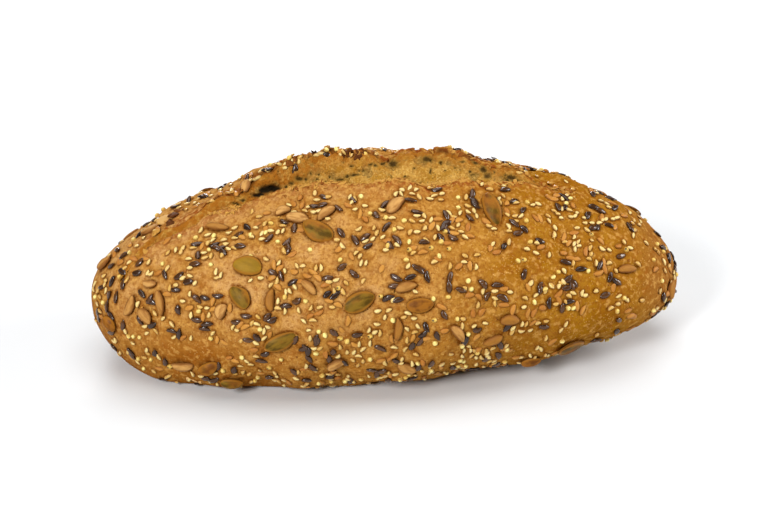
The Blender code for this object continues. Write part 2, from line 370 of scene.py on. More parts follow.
def slash_relief(x, y, torn=0):
    """How far the slash and its lips move the skin. Torn is 0 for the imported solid, and 1 for the fine crust,
    whose floor is lower than the crumb that covers it."""
    front, back, openness = lips(x, torn)
    front_wall, floor, back_wall = slash_walls((y - front) / (back - front))
    carved = -(slash_depth(x) * floor + torn * (TUCK + TRENCH_DEPTH)) * front_wall * (1 - back_wall)
    front_rise = FRONT_LIP_RISE * fading(front - y, LIP_SHOULDER) * (1 - front_wall)
    back_rise = back_lip_height(x, torn) * fading(y - back, LIP_SHOULDER) * back_wall
    crest = shifted(x, CREST_SHIFTS) * fading(y - back, SHIFT_SHOULDER)
    back_rise = back_rise + torn * crest * back_wall
    return (carved + front_rise + back_rise) * ramp(openness, 0, RUN_OUT)


def crust_relief(x, y):
    return slash_relief(x, y, torn=1)


def crumb_relief(x, y):
    """The slash as the crumb fills it, tucked under the crust at both lips."""
    front, back, openness = lips(x, torn=1)
    across = (y - front) / (back - front)
    front_wall, floor, back_wall = slash_walls(across)
    carved = -slash_depth(x) * floor * np.maximum(front_wall, LEAST_SINK)
    trench = TRENCH_DEPTH * bell(x - TRENCH_AT, TRENCH_SPREAD) * bell(across - TRENCH_ACROSS, TRENCH_WIDTH)
    lip_height = back_lip_height(x, torn=1) + shifted(x, CREST_SHIFTS)
    rise = lip_height * ramp(across, CRUMB_CLIMB_FROM, 1)
    return (carved - trench + rise - BACK_TUCK * back_wall) * ramp(openness, 0, RUN_OUT)


def skin(along, turn, relief=slash_relief):
    """Points of the loaf's skin, as an array whose last axis is x, y, z."""
    along, turn = np.broadcast_arrays(np.asarray(along, float), np.asarray(turn, float))
    x = along * LENGTH / 2
    plan = plan_share(along)
    crown = fullness(along, 0, CROWN_POWERS)
    belly = fullness(along, BELLY_FULLEST, BELLY_POWERS)
    tip_level = np.where(along < 0, TIP_LEVEL_LEFT, TIP_LEVEL_RIGHT)
    level = WIDEST_LEVEL + (tip_level - WIDEST_LEVEL) * along ** 2
    out, up = np.cos(turn), np.sin(turn)
    y = WIDTH / 2 * plan * np.sign(out) * np.abs(out) ** (2 / SIDE_ROUNDNESS)
    rise = (HEIGHT - level) * crown * np.abs(up) ** (2 / CROWN_ROUNDNESS)
    drop = BELLY_DEPTH * belly * np.abs(up) ** (2 / BELLY_ROUNDNESS)
    z = level + np.where(up > 0, rise, -drop)
    swelling = swell(x, y, z) * plan
    z = z + relief(x, y) * ramp(up, 0, RELIEF_FADE) * plan
    y = y + swelling * out
    z = z + swelling * up
    rounded = (z + BASE_FILLET) ** 2 / (4 * BASE_FILLET)
    z = np.where(z < -BASE_FILLET, 0, np.where(z < BASE_FILLET, rounded, z))
    return np.stack([x, y, z], -1)


def turn_at(along, y):
    """The turn, between front and back over the crown, where the skin is at y."""
    half_width = WIDTH / 2 * plan_share(along)
    share = np.clip(y / half_width, -LIP_REACH, LIP_REACH)
    return np.arccos(np.sign(share) * np.abs(share) ** (SIDE_ROUNDNESS / 2))


def between(start, end, count):
    """Count columns of turns from start, one row for each station, without the end."""
    return start[:, None] + (end - start)[:, None] * np.arange(count) / count


def crust_turns(along):
    """The turns of every station's points. Columns crowd along both lips, so that their edges are crisp."""
    front, back, _ = lips(along * LENGTH / 2, torn=1)
    middle, half_gap = (front + back) / 2, np.maximum(back - front, LEAST_COLUMN_GAP) / 2
    back_turn, front_turn = turn_at(along, middle + half_gap), turn_at(along, middle - half_gap)
    step_turn = turn_at(along, middle + half_gap * (2 * BACK_STEP_SHARE - 1))
    wall_turn = turn_at(along, middle - half_gap * (1 - 2 * WALL_SHARE))
    zero = np.zeros_like(along)
    return np.concatenate([
        between(zero, back_turn, BACK_COLUMNS),
        between(back_turn, step_turn, WALL_COLUMNS),
        between(step_turn, wall_turn, FLOOR_COLUMNS),
        between(wall_turn, front_turn, WALL_COLUMNS),
        between(front_turn, zero + math.pi, FRONT_COLUMNS),
        between(zero + math.pi, zero + 2 * math.pi, UNDER_COLUMNS),
    ], axis=1)


def grid_normals(points):
    """Outward unit normals of a grid whose columns run round the loaf."""
    around = np.roll(points, -1, axis=1) - np.roll(points, 1, axis=1)
    ahead = np.gradient(points, axis=0)
    normals = np.cross(ahead, around)
    normals /= np.linalg.norm(normals, axis=-1, keepdims=True) + TINY
    return normals


def grid_quads(rows, columns, wrap):
    """The corner numbers of a grid's faces."""
    row, column = np.meshgrid(np.arange(rows - 1), np.arange(columns if wrap else columns - 1), indexing="ij")
    following = (column + 1) % columns
    corners = (row * columns + column, row * columns + following)
    return np.stack([corners[0], corners[1], corners[1] + columns, corners[0] + columns], -1).reshape(-1, 4)


def add_attribute(mesh, name, values):
    """One number, or one set of coordinates, for each point."""
    kind, field = ("FLOAT", "value") if np.ndim(values) == 1 else ("FLOAT_VECTOR", "vector")
    layer = mesh.attributes.new(name, kind, "POINT")
    layer.data.foreach_set(field, np.asarray(values, np.float32).ravel())


def new_piece(name, vertices, faces, material, attributes):
    """One smooth mesh that rides on the loaf's body and stands for its solid."""
    mesh = bpy.data.meshes.new(name)
    mesh.from_pydata(vertices.tolist(), [], faces)
    for layer, values in attributes.items():
        add_attribute(mesh, layer, values)
    mesh.shade_smooth()
    mesh.materials.append(material)
    piece = bpy.data.objects.new(name, mesh)
    bpy.context.scene.collection.objects.link(piece)
    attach(piece, "root")
    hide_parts("loaf")


class Paint:
    """One procedural material, built node by node, its colour coat by coat. Sizes are metres on the object
    itself, or on each seed where by_seed is set. A colour is a name among colours, or a socket."""

    def __init__(self, name, colours, base, shine, by_seed=False):
        self.material = bpy.data.materials.new(name)
        self.material.use_nodes = True
        self.tree = self.material.node_tree
        self.shader = self.tree.nodes["Principled BSDF"]
        self.feed(self.shader, "Specular IOR Level", shine)
        self.colours = colours
        self.colour = colours[base]
        if by_seed:
            self.place = self.node("Attribute", {}, attribute_name="grain").outputs["Vector"]
        else:
            self.place = self.node("TexCoord", {}).outputs["Object"]

    def feed(self, node, socket, value):
        if isinstance(value, bpy.types.NodeSocket):
            self.tree.links.new(value, node.inputs[socket])
        elif isinstance(value, tuple) and node.inputs[socket].type == "RGBA":
            node.inputs[socket].default_value = (*value, 1)
        else:
            node.inputs[socket].default_value = value

    def node(self, kind, inputs, **settings):
        node = self.tree.nodes.new("ShaderNode" + kind)
        for name, value in settings.items():
            setattr(node, name, value)
        for socket, value in inputs.items():
            self.feed(node, socket, value)
        return node

    def times(self, first, second):
        return self.node("Math", {0: first, 1: second}, operation="MULTIPLY").outputs[0]

    def plus(self, first, second):
        return self.node("Math", {0: first, 1: second}, operation="ADD").outputs[0]

    def span(self, value, ends, to=(0, 1)):
        """Runs between the two numbers of to while value runs between its ends."""
        inputs = {"Value": value, "From Min": ends[0], "From Max": ends[1], "To Min": to[0], "To Max": to[1]}
        return self.node("MapRange", inputs, interpolation_type="SMOOTHSTEP").outputs[0]

    def mark(self, name, ends=None, to=(0, 1)):
        """The number that an attribute holds, spread where ends are given."""
        value = self.node("Attribute", {}, attribute_name=name).outputs["Fac"]
        return self.span(value, ends, to) if ends else value

    def noise(self, size, detail, stretch=(1, 1, 1)):
        place = self.node("Mapping", {"Vector": self.place, "Scale": stretch}).outputs[0]
        inputs = {"Vector": place, "Scale": 1 / size, "Detail": detail}
        return self.node("TexNoise", inputs).outputs[0]

    def mottle(self, size, detail, ends, to=(0, 1), stretch=(1, 1, 1)):
        return self.span(self.noise(size, detail, stretch), ends, to)

    def dots(self, size, ends, to):
        """Dots as far apart as size, spread from their middles outwards."""
        inputs = {"Vector": self.place, "Scale": 1 / size}
        return self.span(self.node("TexVoronoi", inputs).outputs["Distance"], ends, to)

    def mix(self, share, first, second):
        first, second = (self.colours[c] if isinstance(c, str) else c for c in (first, second))
        return self.node("Mix", {0: share, 6: first, 7: second}, data_type="RGBA").outputs[2]

    def coat(self, colour, *shares):
        """Lays a colour over the ones before, as thick as all the shares let it."""
        self.colour = self.mix(functools.reduce(self.times, shares), self.colour, colour)

    def bump(self, height, distance, below=None, strength=1):
        inputs = {"Height": height, "Distance": distance, "Strength": strength}
        if below is not None:
            inputs["Normal"] = below
        return self.node("Bump", inputs).outputs[0]

    def finish(self, roughness, relief=None):
        self.feed(self.shader, "Base Color", self.colour)
        self.feed(self.shader, "Roughness", roughness)
        if relief is not None:
            self.feed(self.shader, "Normal", relief)
        return self.material


CRUST_COLOURS = {
    "left": (0.385, 0.163, 0.025), "left blotch": (0.455, 0.212, 0.045),
    # The right half's colours and the belly's are darker, as painted shade.
    "right": (0.250, 0.097, 0.003), "right blotch": (0.305, 0.132, 0.006),
    "belly": (0.250, 0.082, 0.008), "ends": (0.275, 0.112, 0.038), "dust": (0.510, 0.280, 0.098),
    "film": (0.385, 0.178, 0.032), "ruddy": (0.250, 0.072, 0.008), "fray": (0.470, 0.240, 0.050),
    "flush": (0.230, 0.055, 0.010), "flour": (0.380, 0.200, 0.055), "brown": (0.215, 0.068, 0.006),
    "gold": (0.540, 0.285, 0.070), "pores": (0.150, 0.050, 0.006), "flecks": (0.140, 0.036, 0.008),
    "specks": (0.205, 0.056, 0.008), "grains": (0.620, 0.370, 0.120), "burnt": (0.095, 0.030, 0.006),
    # The next line's last two colours are painted shade: a shadow ring round each seed, and the shade in the
    # creases.
    "contact_shadow": (0.135, 0.036, 0.003), "crease": (0.085, 0.024, 0.004),
}
CRUMB_COLOURS = {
    "even": (0.315, 0.150, 0.016), "light": (0.440, 0.240, 0.048), "brown": (0.270, 0.108, 0.012),
    # hollow, sunk and deep below are painted shade, in the crumb's low places and in its hollows.
    "hollow": (0.215, 0.138, 0.034), "threads": (0.560, 0.340, 0.090), "specks": (0.100, 0.058, 0.010),
    "toast": (0.280, 0.096, 0.008), "burnt": (0.100, 0.032, 0.006), "sunk": (0.190, 0.105, 0.018),
    # The last colour here is the black shadow painted in the notch.
    "deep": (0.036, 0.018, 0.003), "crevice_shadow": (0.010, 0.006, 0.002),
}
# In every seed's colours, edge darkens it toward its rim: painted shade where it curves down into the crust.
PUMPKIN_COLOURS = {
    "green": (0.070, 0.038, 0.004), "light green": (0.180, 0.098, 0.010), "fresh": (0.350, 0.190, 0.015),
    "toasted": (0.120, 0.038, 0.005), "light toasted": (0.250, 0.092, 0.010), "rim": (0.270, 0.105, 0.010),
    "edge": (0.075, 0.026, 0.004),
}
SUNFLOWER_COLOURS = {
    "pale": (0.500, 0.265, 0.078), "toasted": (0.300, 0.125, 0.018), "streaks": (0.245, 0.095, 0.016),
    "edge": (0.150, 0.048, 0.007),
}
BROWN_LINSEED_COLOURS = {
    "body": (0.022, 0.009, 0.004), "other body": (0.085, 0.033, 0.009), "edge": (0.014, 0.005, 0.002),
}
GOLDEN_LINSEED_COLOURS = {
    "body": (0.460, 0.208, 0.032), "other body": (0.350, 0.128, 0.016), "edge": (0.240, 0.080, 0.009),
}
SESAME_COLOURS = {
    "pale": (0.660, 0.500, 0.185), "toasted": (0.530, 0.310, 0.065), "edge": (0.290, 0.115, 0.015),
    "mark": (0.200, 0.100, 0.030),
}
MILLET_COLOURS = {
    "pale": (0.720, 0.600, 0.200), "toasted": (0.620, 0.410, 0.085), "edge": (0.400, 0.210, 0.030),
    "mark": (0.060, 0.022, 0.006),
}
FLAKE_COLOURS = {
    "golden": (0.430, 0.215, 0.042), "toasted": (0.200, 0.062, 0.009), "burnt": (0.060, 0.018, 0.005),
    "pale": (0.600, 0.370, 0.150),
}
FLOOR_COLOURS = {"white": (0.67, 0.68, 0.69)}
ENDS_SHARE = 0.6
SPECKS_SHARE = 0.75
GLOSS_RANGE = 0.16
FLAKE_ROUGHNESS = 0.7
FLOOR_ROUGHNESS = 0.9


def crust_material():
    paint = Paint("crust", CRUST_COLOURS, "left", shine=0)
    blotches = paint.mottle(16 * MM, 3, (0.35, 0.65))
    paint.coat("left blotch", blotches)
    # Painted shade: the right half and the lower left side are darker.
    paint.coat(paint.mix(blotches, "right", "right blotch"), paint.mark("right"))
    paint.coat("belly", paint.mark("belly"))
    paint.coat("ends", paint.mark("ends"), ENDS_SHARE)
    paint.coat("dust", paint.mark("dust"), paint.mottle(7 * MM, 4, (0.3, 0.6), (0.3, 1)))
    paint.coat("film", paint.mark("film"), paint.mottle(5 * MM, 4, (0.3, 0.6), (0.2, 0.9)))
    paint.coat("ruddy", paint.mottle(4 * MM, 5, (0.52, 0.72), (0, 0.6)))
    paint.coat("fray", paint.mark("fray"), paint.mottle(1.6 * MM, 5, (0.36, 0.54)))
    paint.coat("flush", paint.mark("flush"), paint.mottle(2.4 * MM, 5, (0.4, 0.56)))
    paint.coat("flour", paint.mark("flour"), paint.mottle(2.2 * MM, 4, (0.42, 0.66), (0, 0.7), (0.3, 1, 1)))
    paint.coat("brown", paint.mottle(1.5 * MM, 5, (0.46, 0.62), (0, 0.5)))
    paint.coat("gold", paint.mottle(2.1 * MM, 5, (0.52, 0.64), (0, 0.55)))
    paint.coat("pores", paint.mottle(0.55 * MM, 2, (0.35, 0.65), (0.2, 0)))
    paint.coat("flecks", paint.dots(3 * MM, (0.06, 0.16), (0.5, 0)))
    patches = paint.mottle(5 * MM, 3, (0.42, 0.58))
    paint.coat("specks", paint.dots(1.3 * MM, (0.1, 0.3), (0.7, 0)), patches)
    paint.coat("grains", paint.dots(1.05 * MM, (0.1, 0.28), (0.6, 0)), paint.span(patches, (0, 0.6), (1, 0)))
    paint.coat("burnt", paint.mark("burnt"))
    # Painted shadow in a ring round each seed, and painted shade in the crust's creases.
    paint.coat("contact_shadow", paint.mark("contact_shadow"), paint.mottle(1.3 * MM, 3, (0.3, 0.6), (0.25, 1)))
    paint.coat("crease", paint.mark("crease"))
    relief = paint.bump(paint.noise(1.9 * MM, 5), 0.36 * MM)
    relief = paint.bump(paint.noise(0.7 * MM, 3), 0.22 * MM, relief)
    return paint.finish(paint.mottle(2.5 * MM, 3, (0.3, 0.7), (0.5, 0.72)), relief)


def crumb_material():
    paint = Paint("crumb", CRUMB_COLOURS, "even", shine=0.05)
    paint.coat("light", paint.mottle(5 * MM, 4, (0.35, 0.65)))
    paint.coat("brown", paint.mottle(1.4 * MM, 4, (0.45, 0.7), (0, 0.6)))
    # Painted shade where the crumb lies low.
    paint.coat("hollow", paint.mark("hollow", (0, 0.8), (0, 0.8)))
    paint.coat("threads", paint.mottle(0.9 * MM, 4, (0.52, 0.62), (0, 0.6)))
    specks = paint.dots(1.5 * MM, (0.12, 0.3), (1, 0))
    paint.coat("specks", specks, paint.mottle(4 * MM, 3, (0.4, 0.6)), SPECKS_SHARE)
    paint.coat("toast", paint.mark("toast"), paint.mottle(2.6 * MM, 4, (0.3, 0.6), (0.3, 1)))
    paint.coat("burnt", paint.mark("burnt"))
    # Painted shade in the hollows, darkest in their middles.
    sunk = paint.plus(paint.mark("hollow_shade"), paint.mottle(1.2 * MM, 4, (0, 1), (-0.22, 0.22)))
    paint.coat("sunk", paint.span(sunk, (0.05, 0.6), (0, 0.75)))
    paint.coat("deep", paint.span(sunk, (0.45, 0.9), (0, 0.88)))
    # The notch's shadow, painted black.
    paint.coat("crevice_shadow", paint.mark("crevice_shadow"))
    relief = paint.bump(paint.dots(1.3 * MM, (0.1, 0.6), (0, 1)), 0.35 * MM, strength=0.8)
    relief = paint.bump(paint.noise(0.8 * MM, 5), 0.25 * MM, relief)
    return paint.finish(paint.mottle(2 * MM, 3, (0.3, 0.7), (0.7, 0.9)), relief)


def pumpkin_material():
    paint = Paint("pumpkin_seed", PUMPKIN_COLOURS, "green", shine=0.06, by_seed=True)
    paint.coat("light green", paint.mottle(4 * MM, 4, (0.38, 0.62), stretch=(0.6, 1.6, 1)))
    toasting = paint.mottle(2.4 * MM, 4, (0.35, 0.65), stretch=(0.7, 1, 1))
    patches = paint.plus(paint.mark("tone"), paint.mottle(6 * MM, 3, (0, 1), (-0.5, 0.5)))
    paint.coat(paint.mix(toasting, "toasted", "light toasted"), paint.span(patches, (0.3, 0.75)))
    paint.coat("fresh", paint.mark("tone", (-0.8, -0.1), (0.8, 0)))
    paint.coat("rim", paint.mark("edge", (0.55, 0.85), (0, 0.85)))
    # Painted shade at the very rim, where the seed curves down into the crust.
    paint.coat("edge", paint.mark("edge", (0.88, 1), (0, 0.85)))
    relief = paint.bump(paint.noise(1.2 * MM, 4, (0.5, 1.5, 1)), 0.12 * MM)
    return paint.finish(paint.mottle(3 * MM, 3, (0.3, 0.7), (0.38, 0.55)), relief)


def sunflower_material():
    paint = Paint("sunflower_kernel", SUNFLOWER_COLOURS, "pale", shine=0.1, by_seed=True)
    paint.coat("toasted", paint.mark("tone", (0.1, 0.9)))
    paint.coat("streaks", paint.mottle(1.3 * MM, 4, (0.42, 0.66), (0, 0.75), (0.25, 1, 1)))
    # Painted shade toward the rim, with some toasted colour.
    paint.coat("edge", paint.mark("edge", (0.45, 1), (0, 0.85)))
    relief = paint.bump(paint.noise(1 * MM, 4, (0.25, 1, 1)), 0.22 * MM)
    return paint.finish(paint.mottle(2 * MM, 3, (0.3, 0.7), (0.5, 0.7)), relief)


def linseed_material(name, colours, roughness, shine):
    paint = Paint(name, colours, "body", shine, by_seed=True)
    paint.coat("other body", paint.mark("tone"))
    # Painted shade toward the rim.
    paint.coat("edge", paint.mark("edge", (0.5, 1), (0, 0.8)))
    relief = paint.bump(paint.noise(0.9 * MM, 3, (0.6, 1, 1)), 0.1 * MM)
    gloss = paint.mottle(1.5 * MM, 3, (0.3, 0.7), (roughness, roughness + GLOSS_RANGE))
    return paint.finish(gloss, relief)


def grain_material(name, colours):
    """Sesame and millet, some of it with a dark mark."""
    paint = Paint(name, colours, "pale", shine=0.3, by_seed=True)
    paint.coat("toasted", paint.mark("tone", (0.3, 1)))
    # Painted shade toward the rim, with some toasted colour.
    paint.coat("edge", paint.mark("edge", (0.3, 1), (0, 0.85)))
    paint.coat("mark", paint.mark("mark"))
    relief = paint.bump(paint.noise(0.8 * MM, 2), 0.06 * MM)
    return paint.finish(paint.mottle(1 * MM, 3, (0.3, 0.7), (0.3, 0.48)), relief)


def flake_material(name):
    paint = Paint(name, FLAKE_COLOURS, "golden", shine=0.05, by_seed=True)
    burnt = paint.plus(paint.mark("tone"), paint.mottle(1.6 * MM, 4, (0, 1), (-0.5, 0.5)))
    paint.coat("toasted", paint.span(burnt, (0.2, 0.8)))
    paint.coat("burnt", paint.span(burnt, (0.9, 1.4), (0, 0.8)))
    paint.coat("pale", paint.mark("tone", (-0.7, -0.2), (1, 0)))
    return paint.finish(FLAKE_ROUGHNESS, paint.bump(paint.noise(0.8 * MM, 4), 0.2 * MM))


def torn_share(x):
    """1 where the slash tore open to the crumb, 0 at its smooth ends."""
    return ramp(x, TORN_FROM, TORN_FROM + TORN_FADE) * ramp(x, TORN_TO, TORN_TO - TORN_FADE)


def shape_crust():
    """The points of the whole skin in rows of stations, their normals, which of them are on the upper side,
    and how clear each one is of the table, the tips and the slash."""
    spread = np.linspace(-1, 1, STATIONS + 1)[1:-1]
    along = (1 + STATION_CROWDING) * spread - STATION_CROWDING * spread ** CROWDING_POWER
    turns = crust_turns(along)
    points = skin(along[:, None], turns, crust_relief)
    normals = grid_normals(points)
    x, y, z = np.moveaxis(points, -1, 0)
    front, back, openness = lips(x, torn=1)
    across = (y - front) / (back - front)
    on_top = np.sin(turns) > UPPER_SIDE
    inside = on_top * (across > SLASH_RIM) * (across < 1 - SLASH_RIM) * (openness > 0)
    off_tips = ramp(np.abs(along), 1, 1 - TIP_FADE)[:, None]
    clear = ramp(z, 0, BASE_CLEARANCE) * off_tips * (1 - inside)
    for size, height, drawn_out in CRUST_RELIEF:
        points = roughened(points, normals, size, height * clear, drawn_out)
    lip = fading(front - y, LIP_ROUGH_REACH) * on_top * clear * ramp(openness, 0, LIP_RUN_OUT)
    points = roughened(points, normals, LIP_ROUGH_SIZE, LIP_ROUGHNESS * lip)
    wrinkles = WRINKLE_HEIGHT * area(points, "floury")
    points = roughened(points, normals, WRINKLE_SIZE, wrinkles, WRINKLE_STRETCH)
    return points, normals, on_top, clear


def roughened(points, normals, size, height, drawn_out=1):
    """Points moved in and out by noise of a size, which may be drawn out along the loaf."""
    return points + normals * (noise(points / np.array([drawn_out, 1, 1]), size) * height)[..., None]


def area(points, name):
    """1 in an area of the crust, and 0 outside it."""
    shares = [ramp(points[..., axis], begins * MM, full * MM) for axis, begins, full in AREAS[name]]
    return np.prod(shares, axis=0)


def seen_pixels(points, camera):
    """Where points show in the photograph's frame, as arrays of its x and y."""
    eye = np.array(camera.matrix_world.translation)
    turned = np.array(camera.matrix_world.to_3x3())
    own = (points - eye) @ turned
    zoom = camera.data.lens / SENSOR * FRAME_WIDTH
    x = FRAME_WIDTH / 2 - zoom * own[..., 0] / own[..., 2]
    y = FRAME_HEIGHT / 2 + zoom * own[..., 1] / own[..., 2]
    return x, y


def crease(points, normals, camera):
    """Sinks the creases that the photograph shows. Returns the points and how deep in a crease each is, which
    sets how dark the shade painted there is.
    """
    x, y = seen_pixels(points, camera)
    to_eye = np.array(camera.matrix_world.translation) - points
    faces_eye = (normals * to_eye).sum(-1) > 0
    depth = np.zeros(x.shape)
    for x_from, y_from, x_to, y_to, half_width, deepest in CREASES:
        length = math.hypot(x_to - x_from, y_to - y_from)
        ahead = ((x - x_from) * (x_to - x_from) + (y - y_from) * (y_to - y_from)) / length
        aside = ((x - x_from) * (y_to - y_from) - (y - y_from) * (x_to - x_from)) / length
        past = np.maximum(np.abs(ahead - length / 2) - length / 2, 0)
        wander = CREASE_WANDER * np.sin(ahead / CREASE_WAVE)
        near = bell(np.hypot(past, aside + wander), half_width) * faces_eye
        depth = np.maximum(depth, near * deepest)
    return points - normals * depth[..., None] * MM, np.clip(depth, 0, 1)


def scorched(points):
    """How burnt the torn edge is: in patches, and most at the clump that the photograph shows on it."""
    patches = ramp(noise(points, SCORCH_SIZE), *SCORCH_ENDS)
    clump = bell(points[..., 0] - SCORCHED_AT, SCORCHED_SPREAD)
    return np.clip(SCORCH_PATCHES * patches + SCORCH_CLUMP * clump, 0, 1)


def crust_marks(points, on_top, film, contact_shadow, creased):
    """Where the crust is burnt, flushed, creased, floury, filmed with starch, or deeper in colour. Shade is
    painted in a ring round each seed, in the creases, on the lower left side and on the right half.
    """
    x, y, z = np.moveaxis(points, -1, 0)
    front, back, openness = lips(x, torn=1)
    across = (y - front) / (back - front)
    torn = torn_share(x)
    at_lips = on_top * ramp(openness, 0, LIP_RUN_OUT)
    burnt = np.where(across > 1, fading(y - back, BURNT_REACH), ramp(across, *BURNT_WALL))
    before = FLUSH_EVEN + FLUSH_MORE * bell(x - FLUSHED_AT, FLUSHED_SPREAD)
    before = before * fading(front - y, FLUSH_BEFORE) * (y < front + FLUSH_OVER_FRONT)
    after = fading(y - back, FLUSH_BEHIND) * (y > back - FLUSH_OVER_BACK)
    cheek = CHEEK_SHARE * bell(x - CHEEK_X, CHEEK_LENGTH) * bell(z - CHEEK_Z, CHEEK_HEIGHT)
    paling = DUST_EVEN + DUST_MORE * bell(z - DUST_LEVEL, DUST_SPREAD)
    return {
        "burnt": burnt * scorched(points) * on_top * torn,
        "flush": np.clip((before + after) * at_lips, 0, 1),
        "fray": fading(front - y, FRAY_REACH) * on_top * (y < back) * torn,
        "flour": area(points, "floury"),
        "film": film * (1 - FILM_LOSS * area(points, "less filmed")),
        # Painted shade in the creases.
        "crease": creased,
        # Painted shadow in a ring round each seed.
        "contact_shadow": contact_shadow,
        # Painted shade: the right half darker.
        "right": area(points, "right"),
        "dust": area(points, "dusty") * paling,
        # Painted shade: the lower left side darker.
        "belly": np.clip(area(points, "belly") + cheek, 0, 1),
        "ends": ramp(np.abs(x) / (LENGTH / 2), *ENDS_ALONG),
    }


def close_tips(points, faces_start):
    """The faces that close a grid which runs round the loaf with one point at each tip."""
    stations, columns = points.shape[:2]
    first, last = np.arange(columns), (stations - 1) * columns + np.arange(columns)
    left = np.stack([np.full(columns, faces_start), np.roll(first, -1), first], -1)
    right = np.stack([np.full(columns, faces_start + 1), last, np.roll(last, -1)], -1)
    return left.tolist() + right.tolist()


def make_crust(points, marks):
    stations, columns = points.shape[:2]
    tips = np.stack([skin(end, 0.0) for end in (-1.0, 1.0)])
    vertices = np.concatenate([points.reshape(-1, 3), tips])
    faces = grid_quads(stations, columns, wrap=True).tolist() + close_tips(points, stations * columns)
    attributes = {}
    for name, values in marks.items():
        at_tips = values[0].mean(), values[-1].mean()
        attributes[name] = np.concatenate([values.ravel(), at_tips])
    new_piece("crust", vertices, faces, crust_material(), attributes)


def pits(x, y, rng):
    """The depth of the open pores of the crumb: a few large, many small."""
    total = np.zeros_like(x)
    place = np.stack([x, y, np.zeros_like(x)], -1)
    x = x + PIT_WARP * noise(place, PIT_WARP_SIZE)
    y = y + PIT_WARP * noise(place + PIT_SHIFT, PIT_WARP_SIZE)
    for _ in range(PIT_COUNT):
        radius = PIT_SIZES[0] + (PIT_SIZES[1] - PIT_SIZES[0]) * rng.uniform() ** PIT_POWER
        middle_x = rng.uniform(TORN_FROM, TORN_TO)
        front, back, _ = lips(np.array(middle_x))
        middle_y = front + (back - front) * rng.uniform(*PITS_ACROSS)
        drawn_out = rng.uniform(*PITS_DRAWN_OUT)
        far = ((x - middle_x) / (radius * drawn_out)) ** 2 + ((y - middle_y) / radius) ** 2
        total = np.maximum(total, radius * rng.uniform(*PIT_DEPTHS) * smooth(PIT_RIM - far))
    return total


def ragged(points):
    """Noise, in pixels, that frays the outlines of the hollows."""
    return sum(height * noise(points, size) for size, height in RAGS)


def hollow(points, clear, camera, spots, most):
    """Sinks the hollows of the crumb that the photograph shows, none deeper than most. Returns the points and
    how deep in a hollow each one is, which the shade painted there follows."""
    x, y = seen_pixels(points, camera)
    x, y = x + ragged(points), y + ragged(points + RAG_SHIFT)
    onward = points - np.array(camera.matrix_world.translation)
    onward /= np.linalg.norm(onward, axis=-1, keepdims=True)
    depth, share = np.zeros(x.shape), np.zeros(x.shape)
    for middle_x, middle_y, half_width, half_height in spots:
        within = bell(np.hypot((x - middle_x) / half_width, (y - middle_y) / half_height), HOLLOW_EDGE)
        deepest = min((half_width + half_height) / 2 / PIXELS_PER_MM * MM, most)
        depth, share = np.maximum(depth, within * deepest), np.maximum(share, within)
    return points + onward * (depth * clear)[..., None], share


def crumb_lumps(points, across):
    """How far the torn floor stands up: in lumps, which are lower and calmer towards the crest."""
    crest = ramp(across, *CREST_ACROSS)
    total = -CREST_DROP * crest * (1 - CREST_CALM * crest)
    for size, height, drawn_out, calm in CRUMB_LUMPS:
        total = total + height * noise(points / np.array([1, drawn_out, 1]), size) * (1 - calm * crest)
    return total


def shape_crumb(camera):
    """The points of the torn floor of the slash in rows across it, and its marks."""
    reach = CRUMB_REACH * SLASH_HALF_LENGTH
    x = np.arange(SLASH_MIDDLE - reach, SLASH_MIDDLE + reach, CRUMB_STEP)
    front, back, _ = lips(x, torn=1)
    across = np.linspace(CRUMB_BORDER, 1 - CRUMB_BORDER, CRUMB_ROWS)
    y = front[:, None] + (back - front)[:, None] * across
    width = np.minimum((back - front)[:, None] / NARROW_GAP, 1)
    x, across = np.broadcast_arrays(x[:, None], across)
    along = x / (LENGTH / 2)
    points = skin(along, turn_at(along, y), crumb_relief)
    within = ramp(across, *FADES_ACROSS[0]) * ramp(across, *FADES_ACROSS[1])
    torn = torn_share(x)
    lumps = crumb_lumps(points, across) * (UNTORN_LUMPS + (1 - UNTORN_LUMPS) * torn)
    shift = (lumps - pits(x, y, np.random.RandomState(PIT_RANDOM_SEED)) * torn) * within * width
    points = points + np.stack([np.zeros_like(x), np.zeros_like(x), shift], -1)
    clear = within * ramp(across, *HOLLOWS_ACROSS)
    points, sunk = hollow(points, clear, camera, HOLLOWS, HOLLOW_DEPTH)
    points, notch_shadow = hollow(points, clear, camera, NOTCH, NOTCH_DEPTH)
    toast = ramp(across, *TOAST_ACROSS) + FRONT_TOAST * ramp(across, *FRONT_TOAST_ACROSS)
    toast = toast + ramp(across, *NOTCH_TOAST_ACROSS) * bell(x - TOASTED_AT, TOASTED_SPREAD)
    # Painted shade where the crumb lies low, in its hollows and in the notch; toast and burnt are the crumb's
    # own colours.
    marks = {
        "hollow": ramp(shift, *HOLLOW_MARK) * torn,
        "hollow_shade": sunk,
        "toast": np.clip(toast + ENDS_TOAST * (1 - torn), 0, 1),
        "burnt": ramp(across, *BURNT_ACROSS) * scorched(points) * torn,
        "crevice_shadow": smooth(NOTCH_DARKNESS * notch_shadow),
    }
    return points, marks


def slab(top, drop):
    """(vertices, faces) of a closed sheet below a grid of points."""
    rows, columns = top.shape[:2]
    size = rows * columns
    number = np.arange(size).reshape(rows, columns)
    border = np.concatenate([number[:-1, 0], number[-1, :-1], number[:0:-1, -1], number[0, :0:-1]])
    following = np.roll(border, -1)
    sides = np.stack([border, border + size, following + size, following], -1)
    upper = grid_quads(rows, columns, wrap=False)
    vertices = np.concatenate([top.reshape(-1, 3), (top + drop).reshape(-1, 3)])
    return vertices, np.concatenate([upper, upper[:, ::-1] + size, sides])


